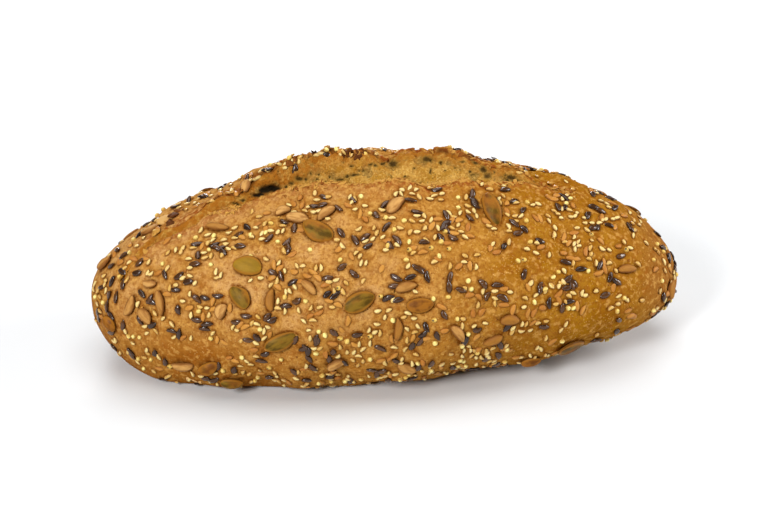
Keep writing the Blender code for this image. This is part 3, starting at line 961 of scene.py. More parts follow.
def make_crumb(points, marks):
    drop = np.zeros(points.shape)
    drop[..., 1] = CRUMB_FLARE * np.linspace(-1, 1, CRUMB_ROWS)
    drop[..., 2] = -CRUMB_DEPTH
    vertices, faces = slab(points, drop)
    attributes = {name: np.tile(values.ravel(), 2) for name, values in marks.items()}
    new_piece("crumb", vertices, faces.tolist(), crumb_material(), attributes)


def light(name, azimuth, elevation, size, power):
    """A square soft light on a dome over the loaf. Azimuth is in degrees from +X towards +Y."""
    data = bpy.data.lights.new(name, "AREA")
    data.shape = "SQUARE"
    data.size = size
    data.energy = power
    azimuth, elevation = math.radians(azimuth), math.radians(elevation)
    across = math.cos(elevation)
    outward = Vector((across * math.cos(azimuth), across * math.sin(azimuth), math.sin(elevation)))
    lamp = bpy.data.objects.new(name, data)
    lamp.location = LIGHT_DISTANCE * outward
    lamp.rotation_euler = (LIGHT_AIM - lamp.location).to_track_quat("-Z", "Y").to_euler()
    bpy.context.scene.collection.objects.link(lamp)


def make_camera():
    data = bpy.data.cameras.new("camera")
    data.sensor_width = SENSOR
    data.lens = PIXELS_PER_MM * CAMERA_DISTANCE / MM * SENSOR / FRAME_WIDTH
    camera = bpy.data.objects.new("camera", data)
    level = CAMERA_DISTANCE * math.cos(CAMERA_ELEVATION)
    back = Vector((-level * math.sin(CAMERA_YAW), -level * math.cos(CAMERA_YAW),
                   CAMERA_DISTANCE * math.sin(CAMERA_ELEVATION)))
    camera.location = CAMERA_AIM + back
    camera.rotation_euler = (-back).to_track_quat("-Z", "Y").to_euler()
    bpy.context.scene.collection.objects.link(camera)
    bpy.context.scene.camera = camera
    return camera


def make_floor():
    paint = Paint("floor", FLOOR_COLOURS, "white", shine=0)
    corners = [(FLOOR_REACH * x, FLOOR_REACH * y, 0) for x, y in ((-1, -1), (1, -1), (1, 1), (-1, 1))]
    mesh = bpy.data.meshes.new("floor")
    mesh.from_pydata(corners, [], [(0, 1, 2, 3)])
    mesh.materials.append(paint.finish(FLOOR_ROUGHNESS))
    floor = bpy.data.objects.new("floor", mesh)
    bpy.context.scene.collection.objects.link(floor)


def make_light():
    world = bpy.data.worlds.new("studio")
    world.use_nodes = True
    background = world.node_tree.nodes["Background"]
    background.inputs["Color"].default_value = (1, 1, 1, 1)
    background.inputs["Strength"].default_value = WORLD_STRENGTH
    bpy.context.scene.world = world
    for lamp in LIGHTS:
        light(*lamp)
    bpy.context.scene.view_settings.view_transform = "Standard"


# Seeds: length, width and thickness in millimetres, how pointed the far end is, how blunt the near one, the
# share of the thickness that is sunk in the crust, how uneven they are, and the fineness of their mesh.
Seed = namedtuple("Seed", "size point blunt sunk uneven mesh")
SEEDS = {
    "pumpkin_seeds": Seed((13.0, 8.0, 2.7), 0.22, 0, 0.4, 0.05, (28, 20)),
    "sunflower_kernels": Seed((8.8, 4.3, 2.6), 0.28, 0.02, 0.45, 0.13, (18, 14)),
    "brown_linseeds": Seed((4.8, 2.35, 1.25), 0.36, 0, 0.36, 0.1, (12, 10)),
    "golden_linseeds": Seed((4.2, 2.35, 1.4), 0.18, 0, 0.6, 0.1, (12, 10)),
    "sesame_seeds": Seed((2.9, 1.8, 1.1), 0.36, 0, 0.38, 0.14, (10, 8)),
    "millet_grains": Seed((2.2, 2.1, 1.9), 0, 0, 0.4, 0.08, (14, 14)),
    "crust_flakes": Seed((2.6, 1.9, 0.6), 0.4, 0.3, 0.45, 0.45, (10, 10)),
    "crumb_bits": Seed((1.5, 1.1, 0.9), 0.3, 0.3, 0.35, 0.6, (8, 8)),
}
TAPER_POWER = 1.5
EDGE_POWER = 8
PLUMPNESS = {"pumpkin_seeds": 0.88, "sunflower_kernels": 0.95}
SIZE_SPREAD = 0.13
SEED_TILT = 0.2
BEND = 1.2
UNEVEN_BUMPS = 3.5
GRAIN_STEP = 7
LEAST_HEIGHT = 0.05 * MM
TAKEN_SHARE = 0.28
POINTING_PIXELS = 2
MOST_STRETCH = 1.2
LARGE_LENGTH, LARGE_WIDTH = 19.5, 9.5
LARGE_TILT = 0.06
FACING = {"pumpkin_seeds": 0.5, "sunflower_kernels": 0.25}
FACING_FADE = 0.7
LIFT_SHARE = 0.3
FLAKE_TILT = 0.3
HIDDEN_THICKNESS = 0.7
HIDDEN_TONE = 0.75
HIDDEN_TILT = 0.05
NAVEL_AT = -0.26
NAVEL_RIM = (0.26, 0.14)

# How the crust climbs round a seed, and the shadow painted in a ring round it. A reach of a half is the seed's
# rim.
COLLAR_SHARE = 0.34
COLLAR_FROM = 0.3
COLLAR_SPREAD = 0.45
COLLARED_KINDS = ("pumpkin_seeds", "sunflower_kernels", "golden_linseeds", "sesame_seeds", "brown_linseeds")
LOW_COLLAR = 0.4
FILM_REACH = 6 * MM
FILM_SEARCH = 1.6
FILM_CROWD = 5
RIM = 0.5
SHADOW_RING_REACH = 0.6 * MM
SHADOW_RING_SHARES = {"golden_linseeds": 0.45, "sesame_seeds": 0.8}

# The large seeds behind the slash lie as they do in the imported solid, which draws them at random clear of the
# chosen places: along in millimetres and turn in degrees.
CHOSEN_PLACES = {
    "crust_flakes": ((-90, 100), (-11, 76), (57, 78)),
    "pumpkin_seeds": (
        (-31, 130), (-60, 142), (-63, 158), (-47, 183), (-16, 163), (8, 165), (40, 120), (-67, 213),
        (-76, 201), (56, 217), (73, 211), (-115, 189),
    ),
    "sunflower_kernels": (
        (-108, 163), (-95, 161), (-101, 173), (-71, 166), (-87, 202), (-99, 146), (-71, 118), (-39, 121),
        (-27, 121), (1, 119), (3, 157), (-36, 155), (97, 149), (118, 176), (45, 175), (-25, 199), (5, 204),
        (24, 181), (-52, 160), (39, 188),
    ),
}
SPACING = {"crust_flakes": 8 * MM, "pumpkin_seeds": 15 * MM, "sunflower_kernels": 10 * MM}
HIDDEN_COUNTS = {"pumpkin_seeds": 12, "sunflower_kernels": 22}
HIDDEN_LENGTHS = {"pumpkin_seeds": 13.2 * MM, "sunflower_kernels": 9.2 * MM}
HIDDEN_TURNS = (-65, 80)
HIDDEN_REACH = 0.97
HIDDEN_RANDOM_SEED = 11
TIP_MARGIN = 4 * MM
TABLE_MARGIN = 1.2 * MM

# Seeds that the photograph shows: (x, y) in its pixels and the way they point in degrees counter-clockwise. A
# seed without a direction points anywhere. Large seeds also have how toasted they are, and some have their
# length and width in pixels.
PUMPKIN_SPOTS = (
    (318, 232, 152, 0.5, 37, 21), (248, 266, 172, -0.5, 29, 19), (240, 297, 128, 0.3, 28, 19),
    (281, 341, 25, 0.15, 31, 17), (359, 302, 25, 0.3, 28, 18), (420, 305, 5, 1.0, 27, 15),
    (492, 210, -68, 0.62, 31, 18), (232, 381, -3, 0.4, 21, 9), (209, 367, 25, 0.7, 19, 12),
    (531, 360, 12, 0.95, 22, 8), (571, 347, 15, 0.4, 24, 7), (111, 323, -50, 0.9, 17, 11),
)
SUNFLOWER_SPOTS = (
    (130, 306, 65, 0.5, 20, 9), (160, 303, -80, 0.6, 23, 9), (145, 316, -50, 0.5, 17, 12),
    (221, 311, 60, 0, 17, 11), (183, 366, 0, 0.3), (150, 284, 0, 0.3, 14, 9), (217, 227, -5, 0.7, 24, 7),
    (298, 218, -8, 0.1, 21, 11), (326, 213, 38, 0.3, 20, 10), (395, 205, 45, 0.2, 19, 12),
    (406, 287, 15, 0.6), (309, 287, -42, 0.5), (283, 211, 20, 0.2, 15, 8), (627, 269, 5, 0.8),
    (671, 290, 85, 0.9), (510, 320, 3, 1),
    (336, 364, 25, 0.3), (398, 329, 85, 0.9), (151, 229, 30, 0.3), (104, 263, 40, 0.5), (407, 368, -20, 0.5),
    (458, 333, -50, 0.4), (270, 300, 85, 0.9), (494, 340, 25, 1), (246, 186, 75, 0.1, 12, 9),
)
BROWN_LINSEED_SPOTS = (
    (202, 197, 0), (205, 196, -20), (189, 200, 40), (175, 207, 30), (167, 209, 90), (155, 220, 40),
    (124, 255, 35), (140, 262, 45), (111, 266, 20), (198, 255, 85), (195, 264, 0), (197, 244, 15),
    (214, 245, 20), (216, 247, -20), (221, 248, 30), (223, 252, -40), (139, 235, 30), (238, 235, 25),
    (221, 188, 20), (324, 197, -20), (315, 206, 10), (322, 205, 10), (338, 208, -45), (247, 227, -45),
    (284, 222, -30), (294, 228, 80), (269, 238, 45), (287, 242, 45), (240, 246, 0), (341, 233, -50),
    (355, 240, -60), (365, 237, 30), (368, 246, 30), (385, 204, 40), (376, 215, -60), (386, 227, 50),
    (342, 267, 40), (353, 200, -50), (390, 245, -60), (288, 249), (411, 200, -5), (436, 190, 15),
    (417, 212, -15), (472, 194, 80), (474, 201, -50), (475, 205, -40), (446, 215, -60), (447, 223, 20),
    (444, 226, 60), (447, 230, -50), (453, 238, -25), (441, 238, -60), (397, 240, -50), (470, 218, -50),
    (514, 201, 20), (523, 210, 50), (514, 223, -40), (524, 229, -40), (518, 233, 15), (504, 246, 60),
    (540, 241, -30), (418, 268, -20), (424, 242, 0), (558, 207, -75), (565, 207, 75), (588, 215, 70),
    (593, 228, 0), (598, 227, 60), (609, 225, -20), (630, 227, -60), (593, 194, 80), (611, 199, -25),
    (620, 203, 10), (594, 207, -15), (601, 211, -25), (615, 208, 40), (652, 226, -60), (657, 234, -50),
    (663, 248, -30), (669, 258, -75), (621, 256, 20), (600, 265, 60), (581, 269, 5), (566, 262, -15),
    (610, 277, 80), (617, 282, -30), (568, 279, 40), (573, 283, -40), (567, 288, 10), (540, 287, 80),
    (595, 189, -20), (675, 268, 85), (137, 273, 10), (123, 272, -40), (165, 275, -75), (179, 276, 35),
    (188, 282, 10), (176, 290, 0), (112, 281, 60), (123, 284, 85), (102, 287, 30), (116, 297, 85),
    (109, 295, 65), (107, 306, 85), (142, 294, -50), (150, 299, 60), (151, 302, -20), (178, 310, -80),
    (197, 299, -45), (205, 298, -20), (218, 296, 0), (197, 320, -10), (207, 324, 0), (205, 329, -15),
    (246, 316, -5), (236, 322, 5), (267, 317, 50), (272, 320, 25), (152, 325, 30), (140, 320, -60),
    (172, 331, -20), (179, 334, 85), (123, 325, 88), (98, 312, 80), (99, 318, 80), (111, 316, -50),
    (248, 340, -10), (257, 338, -45), (131, 352, -50), (132, 355, -50), (114, 347, -45), (165, 362, 85),
    (163, 379, 0), (218, 366, 80), (234, 370, 80), (214, 380, 10), (265, 354, 20), (262, 361, -15),
    (269, 377, 0), (273, 273, -30), (281, 276, -70), (293, 282, 30), (327, 278, 10), (354, 274),
    (327, 294, 40), (335, 295, 40), (297, 301, 25), (286, 306, 0), (388, 298, 20), (398, 300, 10),
    (444, 315, -60), (426, 327, -70), (423, 334, 40), (420, 342, 60), (412, 346, 70), (437, 336, -70),
    (380, 348, -20), (357, 335, 10), (334, 333, -40), (316, 339, 80), (317, 342, 60), (303, 349),
    (306, 348), (308, 352), (309, 359, -50), (333, 352, 85), (329, 359, 85), (345, 363, -50),
    (313, 368, -30), (294, 372, -50), (307, 380, 0), (295, 340, 60), (372, 370, 0), (382, 371, 30),
    (396, 361), (412, 378, 10), (464, 341, 70), (394, 286), (396, 278), (410, 277), (420, 270), (427, 277),
    (450, 277), (449, 287), (461, 290), (483, 284, -50), (497, 285, 0), (487, 296, 60), (503, 298, -30),
    (540, 289, 85), (549, 303, 85), (562, 308, 85), (569, 302, 20), (572, 285), (605, 295, 25), (615, 281),
    (619, 320), (477, 330, 5), (465, 341, 60), (507, 327), (544, 327, 0), (486, 359, 30), (596, 340, 15),
    (524, 274), (247, 179), (267, 170), (314, 152), (327, 154, -10), (340, 149), (384, 150),
)
GOLDEN_LINSEED_SPOTS = (
    (130, 245), (167, 241, 50), (134, 259), (114, 254), (107, 257), (121, 262), (302, 205, 70), (300, 197),
    (267, 213, 10), (242, 237, -20), (348, 205, -20), (360, 214, 80), (365, 219, -40), (339, 249),
    (274, 265), (280, 268, 40), (459, 220, 20), (454, 233, -20), (470, 236, -10), (468, 227, 80),
    (432, 226, 60), (438, 219, 0), (413, 248, 20), (423, 252, 10), (438, 259, -20), (459, 266), (470, 266),
    (486, 221, -35), (507, 203), (507, 211, -60), (497, 252, 10), (554, 199), (573, 205), (536, 218, -50),
    (540, 218, -60), (602, 218), (612, 203, -30), (569, 243), (586, 251, 85), (577, 259, 0),
    (571, 258, -10), (564, 253, 0), (541, 247, 20), (605, 269, -70), (619, 246, 20), (601, 241, -40),
    (670, 269, -70), (656, 269), (599, 273, 20), (167, 294), (213, 301, 70), (203, 317, 85), (189, 308, 15),
    (140, 311, 60), (183, 338, 45), (217, 340, 88), (240, 325, 45), (245, 327, 25), (230, 308, 80),
    (229, 358, 20), (235, 361), (254, 350, 0), (269, 349, 0), (272, 278, 20), (278, 287), (294, 272, -10),
    (307, 276, -20), (313, 272), (318, 278, -40), (325, 285, 15), (338, 305, -20), (329, 301, -15),
    (310, 316, 30), (319, 313), (348, 321), (355, 345), (336, 364), (333, 344), (394, 356), (427, 339, 10),
    (445, 331, 10), (442, 307, -30), (413, 338), (381, 361, 20), (470, 295, 10), (479, 297, -40),
    (504, 305, -5), (513, 310), (482, 312, 50), (543, 308, -10), (559, 294, 45), (577, 306, 85),
    (583, 310, 60), (628, 311, 30), (631, 316, 30), (504, 289), (477, 337), (158, 273),
)
SESAME_SPOTS = (
    (212, 201, 0), (211, 196, 10), (232, 191, 45), (187, 204, 0), (195, 203, 30), (198, 205, 30),
    (164, 210, 80), (186, 210, -20), (179, 208, 15), (157, 220, 45), (150, 225, 20), (143, 226, 30),
    (137, 246, 10), (144, 238, 60), (176, 250, 85), (183, 248, 45), (181, 252, 60), (168, 253, 45),
    (201, 230, 60), (208, 235, 20), (213, 240, 30), (208, 243, 60), (224, 240, 15), (235, 228, 25),
    (226, 244, 10), (234, 248, -20), (204, 253, 10), (211, 256, 70), (193, 248, 10), (189, 259, 0),
    (205, 258, 15), (190, 268, 0), (222, 255, 80), (130, 262, 20), (149, 262, 60), (125, 268, 30),
    (156, 231, 15), (229, 233, 10), (315, 193, 80), (317, 200, 0), (309, 207, 20), (305, 211, -15),
    (314, 212, 0), (319, 211, 10), (294, 212, 0), (289, 205, -30), (328, 197, 0), (328, 219, 0),
    (259, 217, 0), (265, 224, 60), (256, 228, -5), (271, 231, 0), (278, 232, 60), (283, 231, 70),
    (283, 226, 0), (252, 237, -10), (262, 239, 10), (235, 238, 0), (284, 251, -70), (266, 259, -25),
    (279, 263, 55), (297, 266, -60), (316, 268, 80), (321, 268, 88), (337, 240, 0), (342, 246, -50),
    (356, 253), (360, 256), (361, 263, 70), (366, 263, 70), (352, 202, 60), (355, 199, -60), (350, 197, 60),
    (365, 206, 0), (382, 210, -10), (386, 218), (359, 229, 30), (374, 228, 70), (373, 239, 30),
    (377, 233, 60), (383, 237, 30), (366, 241, 30), (386, 250, 0), (255, 179, 10), (232, 190, 40),
    (268, 170, 30), (261, 171), (284, 159), (240, 179), (300, 157, 30), (317, 155, -10), (321, 153),
    (306, 152), (344, 152), (238, 179, 60), (232, 182), (396, 194, 60), (401, 194, -50), (412, 194, -10),
    (416, 190, 30), (419, 197), (402, 190), (430, 188, 10), (442, 194, 20), (434, 196, 15), (430, 199, -10),
    (441, 200, 5), (466, 197, 80), (468, 206, -20), (460, 213, 60), (468, 212, -30), (474, 211, -60),
    (449, 213, -40), (458, 225, 50), (452, 228, -30), (461, 232, -15), (465, 237, -30), (438, 228, -70),
    (431, 220, 70), (425, 228, 60), (422, 221, 20), (424, 216, -60), (417, 216, -5), (412, 221, -20),
    (400, 228, -20), (410, 232, 60), (417, 232, -5), (392, 218, 0), (397, 245, -35), (413, 253, 30),
    (426, 240, -30), (435, 237, 70), (408, 266, 60), (434, 262, 20), (450, 266, 85), (465, 256, -30),
    (464, 262), (477, 255, 10), (476, 267, 85), (489, 226, -20), (494, 229, -5), (493, 244, 60),
    (509, 242, 80), (509, 231, -5), (500, 203, -70), (503, 196, -40), (499, 199, 60), (516, 203, 5),
    (515, 216, 10), (521, 216, 40), (516, 221, -20), (537, 243, -10), (527, 249, -15), (536, 253, -30),
    (562, 199, 85), (533, 205, 20), (538, 204, -20), (554, 211, -20), (558, 214, -10), (562, 209, 80),
    (569, 210, -20), (577, 213, 30), (575, 216, 40), (571, 217), (561, 218, 0), (548, 216, -30),
    (549, 221, -50), (584, 218, 10), (585, 223, 0), (592, 223, 0), (599, 223, 10), (603, 220, 30),
    (606, 219, 40), (613, 219, 20), (617, 218, 10), (601, 201, -10), (607, 204, -20), (630, 213, 10),
    (639, 217), (639, 225, -15), (555, 228, -60), (554, 235, 85), (577, 228, 0), (587, 230, -40),
    (574, 237, 70), (574, 244, 70), (578, 242, 60), (579, 246, 10), (575, 249, 85), (565, 242, 0),
    (590, 248, 70), (591, 254, 70), (602, 249, -40), (609, 250, -10), (589, 259, -20), (549, 255, 85),
    (573, 263, 85), (596, 263, 85), (609, 263, 10), (616, 271, -50), (624, 242, -70), (630, 248, -20),
    (646, 243, -50), (655, 249), (658, 252, -60), (638, 264, -40), (664, 262, -70), (665, 271, -60),
    (674, 277, 85), (671, 283, 85), (564, 271, -50), (564, 282, -35), (561, 283, -20), (559, 286, 60),
    (551, 286, -50), (531, 283, 60), (104, 276, 20), (127, 280, 60), (98, 291, 60), (100, 297),
    (148, 273, 60), (151, 274, 40), (183, 278, 25), (190, 276, -20), (176, 285, 0), (195, 283, 50),
    (170, 288, 85), (190, 294, 85), (183, 301, -5), (200, 307, -15), (207, 308, 0), (191, 315, 85),
    (209, 315, 70), (138, 304, 60), (155, 313, -50), (172, 324, -50), (145, 326, 10), (156, 331, -60),
    (147, 333, 30), (133, 343, -15), (213, 333, 45), (191, 338, 85), (174, 337), (138, 362, -40),
    (159, 357, -50), (154, 371, -40), (233, 327, 60), (237, 330, -10), (252, 323, 60), (257, 324, -20),
    (258, 317, -40), (264, 331, 80), (264, 338, 35), (256, 343, -30), (278, 308, -10), (277, 281, 70),
    (261, 278, 0), (216, 272, 80), (221, 275, 75), (217, 278, 10), (247, 361, -30), (256, 356, 0),
    (251, 364, -10), (243, 372, 60), (249, 374, 40), (260, 370, -40), (275, 373, -45), (285, 271, -70),
    (295, 287, -50), (290, 291, -65), (286, 292, -85), (278, 301, 85), (285, 311, 88), (299, 310, -70),
    (311, 308, 60), (320, 307, 20), (332, 307, -5), (343, 292, -60), (304, 321, -40), (313, 320, 0),
    (329, 282, 0), (336, 280, 20), (346, 283, -45), (334, 291), (378, 311, 10), (389, 310, 30),
    (385, 317, 70), (393, 300, 60), (404, 317, 20), (414, 318, -5), (408, 313, -20), (407, 329, -50),
    (415, 332, 15), (377, 324, -10), (369, 330, 60), (380, 333, 85), (375, 332, 30), (310, 338, 85),
    (359, 344, 85), (370, 343, 85), (363, 349, 40), (340, 347, 85), (347, 352, 85), (354, 352, 60),
    (353, 360, -50), (363, 361, 85), (358, 365, 50), (394, 347, 0), (405, 349, 50), (407, 340, 85),
    (416, 354, -15), (402, 359, 60), (462, 345, -10), (451, 354, -10), (442, 364, 20), (445, 372, -15),
    (456, 368, 0), (453, 363, 10), (314, 348, 10), (320, 348, 25), (298, 372, 85), (306, 366, 80),
    (329, 374), (338, 374, -10), (331, 379, 0), (316, 370, 70), (279, 381, -30), (296, 378, -15),
    (380, 377, 0), (385, 363, -60), (338, 356, 40), (465, 288), (483, 291, 70), (495, 291, 5),
    (510, 292, -10), (495, 298, -20), (478, 305, 75), (495, 303), (525, 298, -30), (536, 295, 30),
    (524, 307, 10), (530, 283, 60), (545, 291, 85), (552, 286, -60), (563, 282, -60), (573, 293, -20),
    (569, 296, -30), (566, 302, -50), (556, 304, 15), (582, 293, 80), (585, 295, 10), (596, 291, 0),
    (627, 300, -40), (618, 304, 0), (611, 308, 20), (642, 300, 10), (665, 300, 85), (660, 291, 75),
    (657, 308, 30), (463, 319, -20), (462, 326, 85), (474, 326, 30), (485, 323, -10), (513, 328),
    (522, 324, 80), (526, 324, 60), (521, 331, 0), (512, 332), (530, 330, 10), (538, 323, 20),
    (546, 321, -5), (566, 324, 60), (561, 330, 60), (546, 338), (500, 337, -45), (493, 348, 25),
    (487, 353, 30), (494, 363, 20), (521, 357, 30),
)
MILLET_SPOTS = (
    (134, 240), (180, 237), (196, 238), (214, 236), (211, 265), (163, 264), (130, 253), (209, 250),
    (271, 224), (266, 233), (251, 235), (278, 242), (310, 250), (251, 257), (361, 197), (370, 214),
    (388, 246), (340, 260), (458, 198), (458, 208), (404, 221), (386, 218), (394, 230), (409, 242),
    (441, 242), (439, 256), (406, 260), (527, 203), (526, 221), (530, 242), (518, 261), (570, 199),
    (566, 204), (663, 252), (653, 260), (558, 272), (553, 277), (545, 289), (588, 271), (120, 277),
    (96, 297), (199, 311), (129, 336), (134, 336), (140, 337), (211, 338), (139, 358), (144, 368),
    (260, 329), (242, 357), (255, 380), (281, 359), (223, 370), (285, 297), (306, 301), (393, 320),
    (433, 299), (448, 297), (457, 319), (319, 331), (325, 335), (347, 341), (370, 359), (418, 363),
    (435, 343), (460, 360), (431, 370), (322, 375), (361, 379), (316, 353), (400, 379), (468, 281),
    (471, 289), (534, 302), (568, 308), (573, 308), (624, 298), (617, 311), (653, 310), (468, 334),
    (462, 346), (562, 341), (326, 150), (371, 151),
)
MARKED_MILLET_SPOTS = (
    (445, 232), (409, 250), (431, 248), (449, 249), (524, 260), (591, 235), (626, 250), (170, 366),
    (269, 367), (338, 288), (381, 296), (434, 320), (370, 336), (340, 338),
)

# Patches too dense to read seed by seed, most of them along the outline: the photograph's pixels from left to
# right and from top to bottom, and how many seeds lie there.
DENSE_PATCHES = (
    (98, 130, 232, 262, 12), (130, 160, 212, 240, 8), (160, 200, 190, 206, 9), (196, 236, 178, 194, 12),
    (92, 108, 262, 330, 18), (100, 130, 325, 355, 14), (120, 160, 350, 378, 14), (150, 240, 370, 388, 26),
    (240, 330, 376, 388, 18), (330, 400, 372, 386, 26), (400, 460, 362, 383, 44), (460, 495, 350, 372, 38),
    (495, 560, 345, 362, 16), (560, 620, 330, 352, 5), (620, 668, 300, 328, 5), (655, 676, 240, 300, 16),
    (600, 660, 196, 240, 14), (540, 600, 184, 200, 8), (480, 540, 172, 192, 5), (240, 262, 170, 182, 8),
    (262, 300, 156, 170, 12), (300, 400, 146, 156, 10),
)
SMALL_KINDS = ("sesame_seeds", "millet_grains", "golden_linseeds", "brown_linseeds")
SMALL_SHARES = (0.48, 0.12, 0.22, 0.18)
MARKED_TONE = 1.5
SOWER_RANDOM_SEED = 21

# The share of its own length that a seed keeps free of others in a patch, among the seeds seen and behind.
PATCH_ROOM = 0.2
COVERED_ROOM = 0.3
HIDDEN_ROOM = 0.28

# Clumps on the side that the photograph doesn't show: how many, how wide in millimetres, and how many seeds.
# Few lie underneath. How much a place faces the camera is 1 where it does so squarely.
HIDDEN_CLUMPS = 260
CLUMP_WIDTHS = (2, 9)
CLUMP_SEEDS = (2, 10)
CLUMP_REACH = 0.985
CLUMP_FACING = 0.12
SEEN_FACING = 0.3
CLUMP_LEVEL = 4 * MM
LEAST_LEVEL = 2.2 * MM
UNDERSIDE = -0.3
UNDERSIDE_SKIPPED = 0.6

SEEN_SPOTS = (
    ("pumpkin_seeds", PUMPKIN_SPOTS),
    ("sunflower_kernels", SUNFLOWER_SPOTS),
    ("brown_linseeds", BROWN_LINSEED_SPOTS),
    ("golden_linseeds", GOLDEN_LINSEED_SPOTS),
    ("sesame_seeds", SESAME_SPOTS),
    ("millet_grains", MILLET_SPOTS),
    ("millet_grains", [(x, y, 0, 2 * MARKED_TONE) for x, y in MARKED_MILLET_SPOTS]),
)

# Groups of torn flakes that the photograph shows: its pixels, how many, how large and how steep. More stand
# all along the back lip.
FLAKE_SPOTS = (
    (357, 152, 12, 1, 0.5), (505, 162, 2, 1.2, 0.3), (516, 162, 2, 1.2, 0.3), (459, 152, 2, 1.1, 0.3),
    (291, 160, 3, 1, 0.4),
)
FLAKE_SCATTER = (3, 2)
# Single flakes that stand out in the photograph: its pixels, direction, tone, steepness and scale.
SINGLE_FLAKES = (
    (174, 215, 65, 1.8, 0.15, 2.8), (170, 223, 60, 1.5, 0.15, 2.2), (180, 211, 20, 1.2, 0.2, 1.8),
    (164, 220, 60, -0.45, 0.05, 3.0), (155, 233, 20, 0.2, 0.2, 1.8), (146, 251, -10, -0.2, 0.2, 1.4),
    (188, 379, 10, -0.6, 0.4, 1.1), (195, 381, -10, -0.6, 0.4, 1.2), (200, 382, 5, -0.5, 0.4, 1.0),
    (246, 173, 40, 0.2, 0.3, 1.5), (262, 169, 30, 0.1, 0.3, 1.3), (372, 151, 80, -0.6, 0.1, 1.6),
    (290, 163, 40, 1.1, 0.3, 1.6), (295, 160, 30, 1.1, 0.3, 1.3), (520, 163, 5, 0.5, 0.1, 2.2),
    (505, 165, -5, 0.2, 0.1, 1.5), (477, 158, -15, 0.9, 0.1, 2.2), (484, 161, -20, 0.7, 0.1, 1.6),
    (462, 152, -5, 0.8, 0.1, 2.0),
)
# The burnt clump on the crest.
CLUMP = dict(x=354, y=153, spread=(5, 3.5), count=24, tone=1.7, steepness=0.6, scale=1.05)

# Flakes and crumbs along the lips. Each is so many millimetres from its lip: the middle and the spread.
BACK_FLAKES = 70
BACK_FLAKES_OFF = (0, 1)
BACK_FLAKES_SWING = 0.6
FRONT_BITS = 170
FRONT_BITS_OFF = (0.8, 2)
FRONT_BIT_SCALES = (0.4, 1.4)
FRONT_FLAKES = 60
FRONT_FLAKES_OFF = (0, 0.8)
FRONT_FLAKES_SWING = 0.3
FRONT_FLAKE_LENGTHS, FRONT_FLAKE_WIDTHS, FRONT_FLAKE_THICKNESS = (0.7, 1.9), (0.5, 1.1), 0.8
FRONT_FLAKE_TONES = (-0.2, 0.5)
NOTCH_REACH = 7 * MM
SLASH_MARGINS = (2 * MM, 1 * MM)

# Seeds and scales of crust that the crust almost covers, so many pixels from the seeds seen.
COVERED_SEEDS = 300
COVERED_SCATTER = 9
COVERED_KINDS = ("golden_linseeds", "sesame_seeds", "crust_flakes")
COVERED_SHARES = (0.3, 0.2, 0.5)
COVERED_STRETCH = (0.95, 0.95, 0.5)
SCALE_LENGTHS, SCALE_WIDTH, SCALE_THICKNESS = (0.3, 0.7), 0.9, 0.7

# Hollows of the crumb that the photograph shows, by its pixels: middle, half width and half height. Each is
# sunk, and shade is painted in it.
HOLLOWS = (
    (291, 184, 2.5, 2), (285, 188, 2, 1.6), (299, 179, 5, 2.5), (306, 179, 2, 2), (317, 180, 2, 1.5),
    (326, 182, 1.2, 1.2), (341, 179, 6, 1.4), (354.5, 175, 6, 1.5), (347, 176, 3, 1.5), (330, 177, 1.2, 2),
    (319, 175, 1.5, 1.2), (352, 166.5, 2.2, 1.5), (359, 170, 2, 1), (364, 171, 2.5, 1.2),
    (371, 164.5, 3, 1.5), (376, 166, 2, 1.5), (383, 163.5, 3, 1.5), (311, 174, 1.2, 2), (243, 201, 3, 1.4),
    (236, 205, 4, 1.2), (393, 164.5, 5.5, 4.2), (391, 179, 1.5, 1.2), (427, 160, 6.5, 3.6),
    (441, 163.5, 2, 2), (431, 171, 1.3, 3), (405, 177, 1.2, 1.2), (462, 161.5, 3, 1), (475, 162.5, 3, 2),
    (483, 170, 4.2, 4.2), (487, 176, 3.8, 4), (473, 175, 3, 1.1), (470, 171.5, 1.5, 2), (506.5, 181, 4, 1.9),
    (516, 181, 4, 1.9), (511.5, 178, 6, 2.6), (504.5, 175.5, 1.5, 1.5), (535.5, 181, 2.2, 1.1),
    (445, 171, 1.2, 1), (414, 168, 1, 1), (455, 168, 1.5, 0.9), (494, 172, 1.2, 1.8),
)
HOLLOW_DEPTH = 1.2 * MM
# The notch at the left end of the tear, the darkest place of the slash: sunk, and painted black as its shadow.
NOTCH = ((271.5, 188.5, 7, 3.8), (265, 191, 5, 3), (258, 195, 5, 2))
NOTCH_DEPTH = 2.5 * MM

# Creases in the crust that the photograph shows, by its pixels: from, to, half width in pixels, and depth in
# millimetres. Each is sunk, and shade is painted in it as dark as it is deep.
CREASES = (
    (175, 214, 171, 223, 2.6, 1.8), (178, 231, 171, 241, 1.3, 0.5), (167, 239, 163, 246, 1.3, 0.5),
    (143, 247, 156, 249, 1.8, 1.0), (146, 252, 148, 257, 1.4, 0.8), (539, 174, 566, 185, 1.5, 0.8),
    (547, 180, 560, 186, 1.3, 0.6), (573, 190, 584, 195, 1.3, 0.6), (592, 206, 606, 212, 1.1, 0.4),
    (576, 199, 590, 203, 1.1, 0.4), (611, 245, 614, 249, 1.6, 0.6), (524, 172, 538, 178, 1.4, 0.6),
    (240, 336, 262, 346, 1.0, 0.3), (596, 196, 612, 203, 1.0, 0.3),
)


